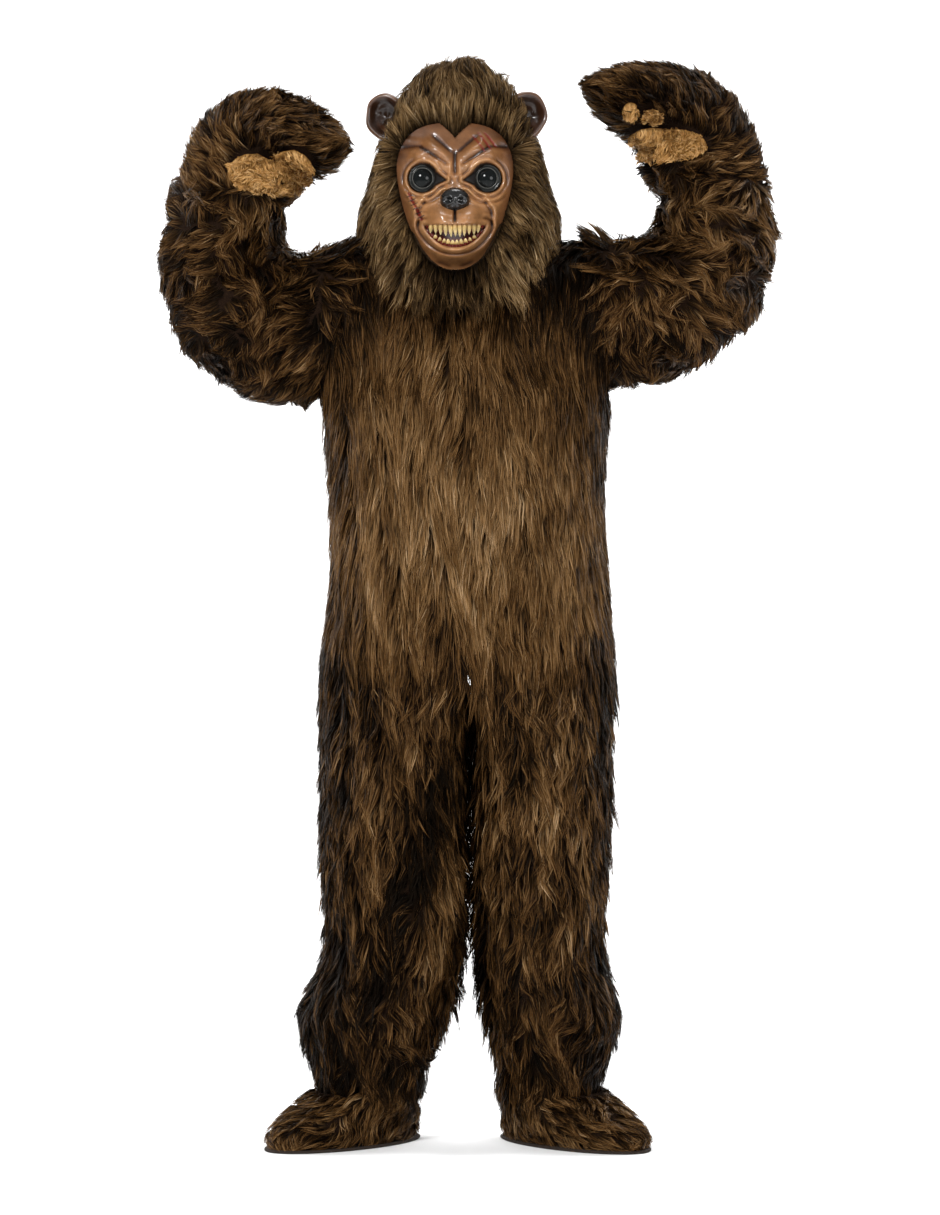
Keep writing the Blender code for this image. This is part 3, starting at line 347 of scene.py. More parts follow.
# Slanted troughs and ridges of body and legs, as in the solids: painted shade darkens the troughs and painted
# highlight lightens the ridges
FOLD_SHADE_AND_HIGHLIGHT = table(
    "facing x1 z1 x2 z2 width tone",
    (-1.0, -0.040, -0.800, -0.172, -1.240, 0.028, -0.42),
    (-1.0, -0.006, -1.010, -0.150, -1.310, 0.030, 0.13),
    (-1.0, -0.110, -0.760, -0.235, -1.050, 0.035, 0.07),
    (-1.0, 0.000, -0.700, 0.004, -1.240, 0.016, -0.30),
    (-1.0, 0.040, -0.700, 0.085, -1.020, 0.022, -0.14),
    (-1.0, 0.225, -1.150, 0.060, -1.200, 0.022, -0.18),
    (-1.0, 0.120, -0.760, 0.150, -1.080, 0.036, 0.08),
    (-1.0, -0.170, -0.330, -0.060, -0.620, 0.034, -0.06),
    (-1.0, 0.165, -0.300, 0.070, -0.600, 0.036, -0.10),
    (-1.0, 0.006, -0.060, 0.000, -0.330, 0.012, -0.12),
    (1.0, 0.060, -0.820, 0.180, -1.220, 0.026, -0.22),
    (1.0, 0.010, -1.000, 0.140, -1.290, 0.030, 0.10),
    (1.0, -0.050, -0.700, -0.100, -1.060, 0.026, -0.16),
    (1.0, -0.215, -1.140, -0.060, -1.210, 0.022, -0.18),
    (1.0, 0.000, -0.700, 0.004, -1.240, 0.016, -0.30),
    (1.0, -0.150, -0.340, -0.050, -0.600, 0.038, -0.08),
    (1.0, 0.160, -0.320, 0.060, -0.610, 0.038, -0.08),
)
# Distance between the locks' middles, on fur and on pads, and points along each
GUIDE_SPACING = 0.0125
PAD_SPACING = 0.005
GUIDE_STEPS = 7
# Spread of the locks' length and reach, as shares of the pile's own
LENGTH_SPREAD = (0.72, 1.18)
REACH_SPREAD = (0.2, 1.9)
# Share of the limbs' locks that stand out further than the rest, and how far
STRAY_LOCKS = 0.16
STRAY_REACH = (0.006, 0.014)
# The same for the crown's locks, and how much longer and steeper these are
CROWN_LOCKS = 0.35
CROWN_REACH = (0.002, 0.012)
CROWN_LENGTH = 0.15
CROWN_LIFT = 20.0
# The body's hem: where it starts, the height over which it sets in, how its locks' lengths vary, the half
# width of the crotch, and how much longer the locks are there
HEM = (-0.60, 0.05)
HEM_LENGTHS = (-0.65, 0.35)
CROTCH_HALF = 0.035
CROTCH_LENGTH = 0.30
# Share of a step that a lock is pulled back into its band over the cloth
HOLD = 0.85
# Shares along a strand, and its width there, for strands of 3 and 4 points
STRANDS = {
    3: (np.array((0.0, 0.50, 1.0)), np.array((0.85, 1.0, 0.0))),
    4: (np.array((0.0, 0.36, 0.70, 1.0)), np.array((0.75, 1.0, 0.72, 0.0))),
}
QUICK_SHARE = 0.35
# A strand follows its lock over this share of the lock's length, and this closely
STRAND_SPAN = (0.55, 1.0)
LOCK_SPREAD = (0.85, 1.08)
# The body's locks are tighter below this height, over this run and by this much
BELLY_LOCKS = (-0.42, 0.16, 0.30)
# Share of strands that leave their lock, and how far these still follow it
LOOSE_SHARE = 0.06
LOOSE_DRAW = 0.25
# Random bends in metres: at the tip, more of it on loose strands, and in the middle
FRIZZ = 0.0012
LOOSE_FRIZZ = 0.0030
BEND = 0.0016
# Spread of the widths, of the tones by strand and by lock, and the share of pale strands
WIDTH_SPREAD = (0.65, 1.25)
STRAND_TONES = 0.13
LOCK_TONES = 0.10
TORSO_LOCK_TONES = 0.06
PALE_SHARE = 0.10
PALE_RISE = 0.16
# The floor, and the height of the lowest strands over it
FLOOR_Z = -1.483
FLOOR_CLEAR = 0.0015


def scatter(points, corners, count, own):
    """Random places on triangles, spread by area: place, triangle, corner shares and the whole area."""
    area = np.linalg.norm(face_crosses(points, corners), axis=1) / 2.0
    edges = np.cumsum(area) / area.sum()
    spots = (np.arange(count) + own.uniform(0.0, 1.0, count)) / count
    faces = np.minimum(np.searchsorted(edges, spots), len(corners) - 1)
    first, second = own.uniform(size=(2, count))
    over = first + second > 1.0
    first[over], second[over] = 1.0 - first[over], 1.0 - second[over]
    shares = np.stack([1.0 - first - second, first, second], 1)
    places = (points[corners[faces]] * shares[:, :, None]).sum(1)
    return places, faces, shares, area.sum()


def rooted(panel, normals, count, own):
    """Random places on a panel, and the way that it faces at each."""
    points, corners = panel
    places, faces, shares, _ = scatter(points, corners, count, own)
    return places, unit((normals[corners[faces]] * shares[:, :, None]).sum(1))


# Points nearer than this face the same way, on both sides of a seam
SEAM_REACH = 0.0012


def welded_normals(surfaces):
    """Smooth normals for the points of many surfaces, shared across their seams."""
    points = np.concatenate([s[0] for s in surfaces.values()])
    total = np.zeros_like(points)
    start = 0
    for own_points, corners in surfaces.values():
        faces = face_crosses(own_points, corners)
        for k in range(3):
            np.add.at(total, corners[:, k] + start, faces)
        start += len(own_points)
    tree = point_tree(points)
    shared = np.zeros_like(total)
    for number, point in enumerate(points):
        near = [found[1] for found in tree.find_range(point, SEAM_REACH)]
        shared[number] = total[near].sum(0)
    shared = unit(shared)
    found = {}
    start = 0
    for node, (own_points, _) in surfaces.items():
        found[node] = shared[start:start + len(own_points)]
        start += len(own_points)
    return found


def outer_tree(surfaces, nodes):
    """A search tree of the outer sides of some nodes."""
    points, corners, start = [], [], 0
    for node in nodes:
        points.append(surfaces[node][0])
        corners.append(surfaces[node][1] + start)
        start += len(surfaces[node][0])
    return BVHTree.FromPolygons(np.concatenate(points).tolist(), np.concatenate(corners).tolist())


def grow_guides(roots, normals, kind, side, tree, own, depth=CLOTH_DEPTH):
    """Paths of the locks' middles, each GUIDE_STEPS points, from the cloth to the lock's tip."""
    pile = PILE[kind]
    count = len(roots)
    length = pile["length"] * own.uniform(*LENGTH_SPREAD, count)
    reach = pile["reach"] * own.uniform(*REACH_SPREAD, count)
    for tuft in TUFTS:
        away = np.linalg.norm(roots - (tuft["x"], tuft["y"], tuft["z"]), axis=1) / tuft["size"]
        if kind != "hood":
            reach += tuft["reach"] * np.exp(-away ** 2) * own.uniform(0.5, 1.5, count)
    if kind in ("leg", "sleeve", "mitt"):
        reach += own.uniform(*STRAY_REACH, count) * (own.uniform(size=count) < STRAY_LOCKS)
    if kind == "torso":
        start, run = HEM
        low = smooth_step((start - roots[:, 2]) / run)
        crotch = np.exp(-(roots[:, 0] / CROTCH_HALF) ** 2)
        hem = low * (1.0 - crotch)
        length *= 1.0 + hem * own.uniform(*HEM_LENGTHS, count) + CROTCH_LENGTH * low * crotch
        reach *= 1.0 - hem
    swing = own.normal(0.0, pile["wild"], (count, 3))
    sway = own.uniform(0.0, 2.0 * math.pi, count)
    if kind == "hood":
        crown = smooth_step((roots[:, 2] - HOOD_TOP) / 0.05) * smooth_step((0.05 - roots[:, 1]) / 0.06)
        length = length * (1.0 + CROWN_LENGTH * crown)
        reach = reach + crown * own.uniform(*CROWN_REACH, count) * (own.uniform(size=count) < CROWN_LOCKS)
    else:
        crown = np.zeros(count)
    points = roots - normals * depth
    path = [points]
    normal = normals.copy()
    for step in range(1, GUIDE_STEPS):
        share = step / (GUIDE_STEPS - 1.0)
        flow = flow_of(points, normal, kind, side)
        curl = 1.8 * pile["wild"] * np.sin(sway + share * 5.0)
        flow = unit(flow + swing + np.cross(normal, flow) * curl[:, None])
        lift = np.radians(pile["rise"] + (pile["fall"] - pile["rise"]) * share)
        lift = lift + np.radians(CROWN_LIFT) * crown
        points = points + (flow * np.cos(lift)[..., None] + normal * np.sin(lift)[..., None]) \
            * (length / (GUIDE_STEPS - 1.0))[:, None]
        limit = -depth + (depth + reach) * share ** 0.7
        for number in range(count):
            spot, facing, _, _ = tree.find_nearest(points[number])
            facing = np.array(facing)
            height = float((points[number] - np.array(spot)) @ facing)
            held = min(max(height, -depth), limit[number])
            points[number] += facing * (held - height) * HOLD
            if facing @ normal[number] > 0.2:
                normal[number] = facing * 0.5 + normal[number] * 0.5
        normal = unit(normal)
        path.append(points.copy())
    return np.stack(path, 1)


def strand_mesh(name, paths, normals, widths, tones, own):
    """Flat tapering strands along paths. The map's x is a strand's tone and y the place on it."""
    count, steps = paths.shape[:2]
    shares, shape = STRANDS[steps]
    ways = np.empty_like(paths)
    ways[:, 1:-1] = paths[:, 2:] - paths[:, :-2]
    ways[:, 0] = paths[:, 1] - paths[:, 0]
    ways[:, -1] = paths[:, -1] - paths[:, -2]
    ways = unit(ways)
    turn = own.normal(0.0, 0.55, count)
    across = unit(np.cross(ways, normals[:, None, :]))
    up = np.cross(across, ways)
    across = across * np.cos(turn)[:, None, None] + up * np.sin(turn)[:, None, None]
    half = across * (widths[:, None] * shape / 2.0)[..., None]
    corners = 2 * steps - 1
    points = np.empty((count, corners, 3))
    points[:, 0:-1:2] = (paths - half)[:, :-1]
    points[:, 1:-1:2] = (paths + half)[:, :-1]
    points[:, -1] = paths[:, -1]
    order, rows, sizes = [], [], []
    for step in range(steps - 2):
        order += [2 * step, 2 * step + 1, 2 * step + 3, 2 * step + 2]
        rows += [step, step, step + 1, step + 1]
        sizes.append(4)
    order += [corners - 3, corners - 2, corners - 1]
    rows += [steps - 2, steps - 2, steps - 1]
    sizes.append(3)
    loops = ((np.arange(count) * corners)[:, None] + np.array(order)).ravel()
    starts = (np.arange(count) * len(order))[:, None] + np.concatenate([[0], np.cumsum(sizes)[:-1]])
    mesh = bpy.data.meshes.new(name)
    mesh.vertices.add(count * corners)
    mesh.vertices.foreach_set("co", points.astype(np.float32).ravel())
    mesh.loops.add(len(loops))
    mesh.loops.foreach_set("vertex_index", loops.astype(np.int32))
    mesh.polygons.add(count * len(sizes))
    mesh.polygons.foreach_set("loop_start", starts.astype(np.int32).ravel())
    mesh.update(calc_edges=True)
    mesh.polygons.foreach_set("use_smooth", np.ones(count * len(sizes), bool))
    layer = mesh.uv_layers.new(name=MAP)
    sides = np.array([(-1.0, 1.0)[corner % 2] if corner < corners - 1 else 0.0 for corner in order])
    spots = np.empty((count, len(order), 2), np.float32)
    spots[:, :, 0] = np.clip(tones, 0.01, 0.99)[:, None] + sides * 0.004
    spots[:, :, 1] = 0.01 + 0.98 * shares[np.array(rows)]
    layer.data.foreach_set("uv", spots.ravel())
    mesh.validate()
    return mesh


def add_piece(name, mesh, material):
    """A piece of the costume. All of them ride on the one body."""
    piece = bpy.data.objects.new(name, mesh)
    bpy.context.scene.collection.objects.link(piece)
    if not mesh.materials:
        mesh.materials.append(material)
    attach(piece, "root")
    return piece


def mesh_of(name, points, faces, smooth=True):
    """A mesh from its points and faces."""
    mesh = bpy.data.meshes.new(name)
    mesh.from_pydata([tuple(p) for p in points], [], [tuple(f) for f in faces])
    mesh.update()
    if smooth:
        mesh.shade_smooth()
    return mesh


# Materials


def new_material(name, roughness, **settings):
    """A material with its nodes and shader. Settings are the shader's sockets, with _ for each space."""
    material = bpy.data.materials.new(name)
    material.use_nodes = True
    shader = material.node_tree.nodes["Principled BSDF"]
    shader.inputs["Roughness"].default_value = roughness
    for setting, value in settings.items():
        shader.inputs[setting.replace("_", " ")].default_value = value
    return material, material.node_tree, shader


def ramp(tree, source, stops):
    """A colour that follows a value through stops of place and colour."""
    node = tree.nodes.new("ShaderNodeValToRGB")
    tree.links.new(source, node.inputs["Fac"])
    while len(node.color_ramp.elements) < len(stops):
        node.color_ramp.elements.new(0.5)
    for element, (place, colour) in zip(node.color_ramp.elements, stops):
        element.position = place
        element.color = (*colour, 1.0)
    return node.outputs["Color"]


def mix(tree, way, first, second, share=1.0):
    """Two colours blended in one of the mix node's ways."""
    node = tree.nodes.new("ShaderNodeMix")
    node.data_type = "RGBA"
    node.blend_type = way
    for socket, value in (("Factor", share), ("A", first), ("B", second)):
        target = [s for s in node.inputs if s.name == socket and (s.type == "RGBA" or socket == "Factor")][0]
        if isinstance(value, bpy.types.NodeSocket):
            tree.links.new(value, target)
        elif socket == "Factor":
            target.default_value = value
        else:
            target.default_value = (*value, 1.0)
    return [s for s in node.outputs if s.type == "RGBA"][0]


def noise(tree, scale, detail=3.0, roughness=0.5):
    """Noise in the piece's own space."""
    place = tree.nodes.new("ShaderNodeTexCoord")
    node = tree.nodes.new("ShaderNodeTexNoise")
    node.inputs["Scale"].default_value = scale
    node.inputs["Detail"].default_value = detail
    node.inputs["Roughness"].default_value = roughness
    tree.links.new(place.outputs["Object"], node.inputs["Vector"])
    return node.outputs["Fac"]


def bump(tree, shader, height, distance, strength=1.0):
    """Fine relief on a shader."""
    node = tree.nodes.new("ShaderNodeBump")
    node.inputs["Distance"].default_value = distance
    node.inputs["Strength"].default_value = strength
    tree.links.new(height, node.inputs["Height"])
    tree.links.new(node.outputs["Normal"], shader.inputs["Normal"])


def fur_material(name, tones, roots):
    """Strands coloured by tone, and darker towards their roots: painted shade deep in the pile, with the
    pile's own darker roots.
    """
    material, tree, shader = new_material(name, 0.50, Specular_IOR_Level=0.05,
                                          Specular_Tint=(1.0, 0.80, 0.60, 1.0))
    place = tree.nodes.new("ShaderNodeUVMap")
    place.uv_map = MAP
    parts = tree.nodes.new("ShaderNodeSeparateXYZ")
    tree.links.new(place.outputs["UV"], parts.inputs["Vector"])
    colour = ramp(tree, parts.outputs["X"], tones)
    # Darker towards the roots: painted shade deep in the pile and between the locks
    depth = ramp(tree, parts.outputs["Y"], roots)
    tree.links.new(mix(tree, "MULTIPLY", colour, depth), shader.inputs["Base Color"])
    return material


def cloth_material(name, dark, light):
    """Knitted backing: small even loops."""
    material, tree, shader = new_material(name, 0.9, Specular_IOR_Level=0.02)
    loops = noise(tree, 900.0, 1.0)
    tree.links.new(ramp(tree, loops, ((0.35, dark), (0.65, light))), shader.inputs["Base Color"])
    bump(tree, shader, loops, 0.0006)
    return material


def grey(value):
    """A colour without hue."""
    return (value, value, value)


# The second ramp of each fur darkens its strands towards the roots: painted shade in the pile's depth, with
# the pile's own darker roots
body_fur = fur_material(
    "body_fur",
    ((0.0, (0.002, 0.001, 0.0003)), (0.20, (0.012, 0.005, 0.0012)), (0.50, (0.112, 0.054, 0.017)),
     (0.80, (0.270, 0.154, 0.064)), (1.0, (0.470, 0.310, 0.165))),
    ((0.0, grey(0.04)), (0.40, grey(0.34)), (0.80, grey(1.0)), (1.0, grey(1.20))))
hood_fur = fur_material(
    "hood_fur",
    ((0.0, (0.006, 0.003, 0.001)), (0.26, (0.032, 0.017, 0.006)), (0.56, (0.140, 0.082, 0.033)),
     (0.82, (0.280, 0.183, 0.090)), (1.0, (0.470, 0.335, 0.190))),
    ((0.0, grey(0.05)), (0.38, grey(0.36)), (0.78, grey(1.0)), (1.0, grey(1.15))))
plush_pile = fur_material(
    "plush_pile",
    ((0.0, (0.050, 0.018, 0.005)), (0.30, (0.230, 0.105, 0.028)), (0.60, (0.470, 0.250, 0.080)),
     (1.0, (0.700, 0.440, 0.190))),
    ((0.0, grey(0.35)), (0.35, grey(0.70)), (0.75, grey(1.0)), (1.0, grey(1.05))))
body_cloth = cloth_material("body_cloth", (0.006, 0.003, 0.002), (0.016, 0.009, 0.005))
hood_cloth = cloth_material("hood_cloth", (0.012, 0.007, 0.004), (0.030, 0.018, 0.010))
plush_cloth = cloth_material("plush_cloth", (0.120, 0.055, 0.015), (0.240, 0.120, 0.036))
FUR_LOOKS = {
    "torso": (body_fur, body_cloth, "fur_body"),
    "hood": (hood_fur, hood_cloth, "fur_hood"),
    "palm": (plush_pile, plush_cloth, "plush"),
}


# Growing the fur

LIMBS = ("leg", "sleeve", "mitt", "boot")
FUR_NODES = [n for n in sorted(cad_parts) if kind_of(n)[0] in LIMBS + ("torso", "hood")]
PAD_NODES = [n for n in sorted(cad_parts) if kind_of(n)[0] in ("palm", "finger")]


# Tone of each kind's fur, and how strongly it is streaked. The sleeves' dark tone is partly painted shade.
FUR_TONES = {"torso": (0.47, 0.06), "leg": (0.33, 0.13), "sleeve": (0.22, 0.12), "mitt": (0.30, 0.12),
             "palm": (0.56, 0.04), "boot": (0.40, 0.10), "hood": (0.48, 0.07)}
LEFT_MITT_TONE = 0.06
# Where the tone changes: the way in which it does, where that starts, over what run and by how much. These
# steps paint shade on the body's sides and a shadow under the mane; the rest darken the hips, low legs and
# crown and lighten the raised forearms and the right side.
SHADE_AND_TONE_STEPS = table(
    "kind way start run change",
    ("torso", "aside", 0.15, 0.09, -0.22),
    ("torso", "up", -0.10, 0.10, -0.30),
    ("torso", "down", 0.54, 0.12, -0.14),
    ("leg", "down", 0.98, 0.30, -0.15),
    ("leg", "across", 0.00, 0.05, 0.05),
    ("sleeve", "up", 0.03, 0.08, 0.13),
    ("sleeve", "across", 0.00, 0.05, 0.05),
    ("hood", "up", 0.20, 0.10, -0.08),
)


def fur_tone_and_shade(points, kind, side):
    """How light the fur is: light on the belly and chest, dark on arms, sides and low legs, with painted
    shade on the sides, under the chin and in the folds' troughs, painted highlight on the folds' ridges, and
    the fur's own streaks and random tones.
    """
    x, y, z = points.T
    base, streak = FUR_TONES[kind]
    tone = np.full(len(points), base)
    ways = {"up": z, "down": -z, "across": x, "aside": np.abs(x)}
    for step in SHADE_AND_TONE_STEPS:
        if step["kind"] == kind:
            tone += step["change"] * smooth_step((ways[step["way"]] - step["start"]) / step["run"])
    if kind == "torso":
        tone += 0.15 * np.exp(-((z + 0.40) / 0.16) ** 2)
        tone -= 0.12 * smooth_step((x - 0.02) / 0.06) * smooth_step((z + 0.32) / 0.10)
    elif kind == "leg":
        high = smooth_step((z + 0.95) / 0.15)
        # Painted shade on the legs' outer sides
        tone -= (0.12 + 0.08 * high) * smooth_step((np.abs(x) - 0.17) / 0.07)
    elif kind == "mitt" and side == "left":
        tone += LEFT_MITT_TONE
    elif kind == "hood":
        # Painted shadow under the chin, on the front of the hood's low fur
        under_chin_shade = smooth_step((0.035 - z) / 0.04) * np.exp(-((x - HOOD_X) / 0.075) ** 2) * (y < 0.0)
        tone -= 0.22 * under_chin_shade
    if kind in ("torso", "leg"):
        # Painted shade in the folds' troughs and painted highlight on their ridges
        for fold in FOLD_SHADE_AND_HIGHLIGHT:
            distance, share = segment_distance(x, z, (fold["x1"], fold["z1"], fold["x2"], fold["z2"]))
            ends = smooth_step((share + 0.15) / 0.3) * smooth_step((1.15 - share) / 0.3)
            depth = ends * np.exp(-(distance / fold["width"]) ** 2)
            tone += fold["tone"] * depth * (y * fold["facing"] > 0.0)
    tone = tone + streaks(points * STREAK_STRETCH)[:, 0] * streak
    return tone + tone_waves(points)[:, 0] * 0.07 + fine_tones(points)[:, 1] * 0.05


# A pad covers the pile nearer to it than this
PAD_REACH = 0.0045


def near_pads(points, side):
    """True where a pad covers the mitt."""
    covered = np.zeros(len(points), bool)
    for node in PAD_NODES:
        if kind_of(node)[1] != side:
            continue
        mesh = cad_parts[node].data
        tree = BVHTree.FromPolygons([v.co[:] for v in mesh.vertices],
                                    [p.vertices[:] for p in mesh.polygons])
        for number, point in enumerate(points):
            if not covered[number] and tree.find_nearest(point, PAD_REACH)[0] is not None:
                covered[number] = True
    return covered


def grow_group(nodes, kind, side, surfaces, normals, own, depth=CLOTH_DEPTH):
    """Pile on some panels that share their locks, with the backing of each."""
    pads = kind == "palm"
    locks, strands = [], {}
    for node in nodes:
        panel, facings = surfaces[node], normals[node]
        area = scatter(*panel, 10, own)[3]
        count = int(area / PAD_SPACING ** 2) + 8 if pads else int(area / GUIDE_SPACING ** 2)
        locks.append(rooted(panel, facings, count, own))
        density = PILE[kind]["back" if "back" in node else "front"]
        count = int(area * density * (QUICK_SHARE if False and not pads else 1.0))
        strands[node] = rooted(panel, facings, count, own)
    roots, facings = (np.concatenate(part) for part in zip(*locks))
    guides = grow_guides(roots, facings, kind, side, outer_tree(surfaces, nodes), own, depth)
    tones = own.normal(0.0, TORSO_LOCK_TONES if kind == "torso" else LOCK_TONES, len(roots))
    finder = point_tree(roots)
    for node in nodes:
        places, ways = strands[node]
        if kind == "mitt":
            keep = ~near_pads(places, side)
            places, ways = places[keep], ways[keep]
        add_fur(node, kind, side, places, ways, finder, guides, facings, tones, own, depth)
        add_backing(node, kind, surfaces[node], normals[node], depth)


def grow_fur():
    """Long pile on all fur panels. The panels of one limb share their locks."""
    surfaces = {node: surface(node) for node in FUR_NODES}
    normals = welded_normals(surfaces)
    groups = {}
    for node in FUR_NODES:
        kind, side = kind_of(node)
        group = (kind, side if kind in LIMBS else "left")
        groups.setdefault(group, []).append(node)
    for number, ((kind, side), nodes) in enumerate(groups.items()):
        grow_group(nodes, kind, side, surfaces, normals, np.random.default_rng(100 + number))


def grow_pads():
    """Short curly pile on the palms and finger pads."""
    for number, node in enumerate(PAD_NODES):
        panel = {node: surface(node)}
        own = np.random.default_rng(300 + number)
        grow_group([node], "palm", kind_of(node)[1], panel, welded_normals(panel), own, PAD_DEPTH)


def add_fur(node, kind, side, roots, normals, finder, guides, guide_normals, lock_tones, own, depth):
    """The strands of one panel, drawn towards the locks' middles."""
    pile = PILE[kind]
    count = len(roots)
    chosen = np.empty(count, int)
    for number, root in enumerate(roots):
        best = -1
        for _, index, _ in finder.find_n(root, 4):
            if best < 0:
                best = index
            if guide_normals[index] @ normals[number] > 0.4:
                best = index
                break
        chosen[number] = best
    path = guides[chosen]
    span = own.uniform(*STRAND_SPAN, count)
    shares = STRANDS[pile["points"]][0]
    reach = shares * span[:, None] * (GUIDE_STEPS - 1.0)
    low = np.minimum(reach.astype(int), GUIDE_STEPS - 2)
    part = (reach - low)[..., None]
    rows = np.arange(count)[:, None]
    on_guide = path[rows, low] * (1.0 - part) + path[rows, low + 1] * part
    start = roots - normals * depth
    apart = (start - path[:, 0])[:, None, :]
    loose = own.uniform(0.0, 1.0, count) < LOOSE_SHARE
    lock = pile["lock"]
    if kind == "torso":
        height, run, more = BELLY_LOCKS
        lock = lock + more * smooth_step((height - roots[:, 2]) / run)
    draw = np.where(loose, LOOSE_DRAW, lock * own.uniform(*LOCK_SPREAD, count))
    drawn = np.clip(draw[:, None] * (shares * span[:, None]) ** 1.15, 0.0, 0.97)[..., None]
    strands = on_guide + apart * (1.0 - drawn)
    frizz = own.normal(0.0, 1.0, (count, 1, 3)) * (FRIZZ + LOOSE_FRIZZ * loose[:, None, None])
    bend = own.normal(0.0, 1.0, (count, 1, 3)) * BEND
    along = shares[None, :, None]
    strands = strands + frizz * along ** 2 + bend * np.sin(along * math.pi)
    strands[:, 0] = start
    strands[..., 2] = np.maximum(strands[..., 2], FLOOR_Z + FLOOR_CLEAR)
    tones = fur_tone_and_shade(roots, kind, side) + lock_tones[chosen] + own.normal(0.0, STRAND_TONES, count)
    tones += np.where(own.uniform(size=count) < PALE_SHARE, PALE_RISE, 0.0)
    widths = pile["width"] * own.uniform(*WIDTH_SPREAD, count)
    mesh = strand_mesh(node + "_fur", strands, normals, widths, tones, own)
    material, _, slot = FUR_LOOKS.get(kind, FUR_LOOKS["torso"])
    add_piece(node + "_fur", mesh, material)


def add_backing(node, kind, panel, normals, depth):
    """The knitted backing that the strands stand in, a thin sheet of the panel's own shape."""
    points, corners = panel
    mesh = mesh_of(node + "_cloth", points - normals * (depth - 0.0005), corners)
    _, material, slot = FUR_LOOKS.get(kind, FUR_LOOKS["torso"])
    piece = add_piece(node + "_cloth", mesh, material)
    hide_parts(node)


grow_fur()
grow_pads()

# Face mask. Places are across from the middle of the face and up, as in the solids.

FACE_OUTLINE = np.array((
    (0.0000, 0.256), (0.0480, 0.256), (0.0790, 0.240), (0.0965, 0.210), (0.0985, 0.170),
    (0.0910, 0.130), (0.0800, 0.090), (0.0620, 0.050), (0.0380, 0.018), (0.0000, 0.003)))
FACE_EDGE_Y = -0.112
FACE_DOME = 0.030
# Large forms, mirrored where x is not 0
FACE_FORMS = table(
    "x z size_x size_z rise",
    (0.000, 0.076, 0.040, 0.030, 0.038),
    (0.024, 0.092, 0.018, 0.020, 0.010),
    (0.000, 0.020, 0.032, 0.018, 0.020),
    (0.050, 0.206, 0.032, 0.016, 0.014),
    (0.014, 0.180, 0.014, 0.026, 0.008),
    (0.072, 0.106, 0.020, 0.026, 0.008),
    (0.054, 0.162, 0.022, 0.018, -0.014),
    (0.000, 0.034, 0.046, 0.013, 0.017),
    (0.000, 0.016, 0.036, 0.012, 0.010),
    (0.034, 0.098, 0.020, 0.018, 0.013),
)
# Creases and ridges along straight lines, mirrored: width is half the breadth, rise is negative for a crease.
FACE_LINES = table(
    "x1 z1 x2 z2 width rise",
    (0.068, 0.201, 0.018, 0.180, 0.0085, 0.0060),
    (0.046, 0.224, 0.011, 0.193, 0.0062, 0.0052),
    (0.058, 0.214, 0.013, 0.184, 0.0028, -0.0052),
    (0.038, 0.236, 0.006, 0.206, 0.0030, -0.0034),
    (0.000, 0.206, 0.000, 0.168, 0.0034, -0.0045),
    (0.007, 0.186, 0.011, 0.150, 0.0036, 0.0040),
    (0.013, 0.142, 0.050, 0.134, 0.0050, 0.0040),
    (0.016, 0.150, 0.046, 0.128, 0.0026, -0.0026),
    (0.050, 0.132, 0.069, 0.108, 0.0044, 0.0046),
    (0.069, 0.108, 0.070, 0.078, 0.0042, 0.0044),
    (0.048, 0.126, 0.062, 0.106, 0.0028, -0.0040),
    (0.062, 0.106, 0.063, 0.082, 0.0026, -0.0040),
    (0.000, 0.108, 0.000, 0.082, 0.0024, -0.0060),
    (0.060, 0.226, 0.086, 0.229, 0.0034, 0.0012),
    (0.056, 0.216, 0.092, 0.217, 0.0026, -0.0026),
    (0.060, 0.209, 0.092, 0.206, 0.0030, 0.0022),
    (0.010, 0.014, 0.030, 0.022, 0.0030, -0.0020),
)
# Ridges of the lids and the bags under the eyes: distance from the socket's edge, and the arc they cover
EYE_ARCS = table(
    "distance width rise middle half",
    (0.0034, 0.0028, 0.0034, 0.0, 200.0),
    (0.0082, 0.0020, -0.0030, 0.0, 100.0),
    (0.0075, 0.0020, -0.0030, 185.0, 62.0),
    (0.0120, 0.0034, 0.0042, 188.0, 58.0),
    (0.0168, 0.0020, -0.0026, 190.0, 50.0),
    (0.0212, 0.0034, 0.0026, 192.0, 42.0),
)
SOCKET_RADIUS = 0.0258
# The socket's pointed inner corner, from the eye to its tip
SOCKET_CORNER = (0.0460, 0.1620, 0.0150, 0.1570)
SOCKET_WIDTHS = (0.0240, 0.0014)
EYE_X = 0.0545
EYE_Z = 0.162
EYE_RADIUS = 0.0245
EYE_SINK = 0.007
NOSE_Z = 0.1225
NOSE_SIZE = np.array((0.0250, 0.0185, 0.0215))
NOSE_LIFT = 0.004
MOUTH_HALF_WIDTH = 0.052
MOUTH_CORNER_Z = 0.082
MOUTH_TOP_SAG = 0.004
MOUTH_BOTTOM_SAG = 0.037
FACE_RINGS = 88
FACE_STEPS = 216


def outline_reach(angles):
    """Distance from the middle of the face to its outline, angles from straight up."""
    reach = np.zeros(len(angles))
    way = np.stack([np.abs(np.sin(angles)), np.cos(angles)], 1)
    for start, end in zip(FACE_OUTLINE[:-1] - (0.0, FACE_Z), FACE_OUTLINE[1:] - (0.0, FACE_Z)):
        edge = end - start
        across = way[:, 0] * edge[1] - way[:, 1] * edge[0]
        safe = np.where(np.abs(across) < 1e-12, 1.0, across)
        distance = (start[0] * edge[1] - start[1] * edge[0]) / safe
        share = (start[0] * way[:, 1] - start[1] * way[:, 0]) / safe
        crosses = (np.abs(across) > 1e-12) & (distance > 0.0)
        hit = crosses & (share > -1e-6) & (share < 1.0 + 1e-6) & (reach == 0.0)
        reach[hit] = distance[hit]
    return reach


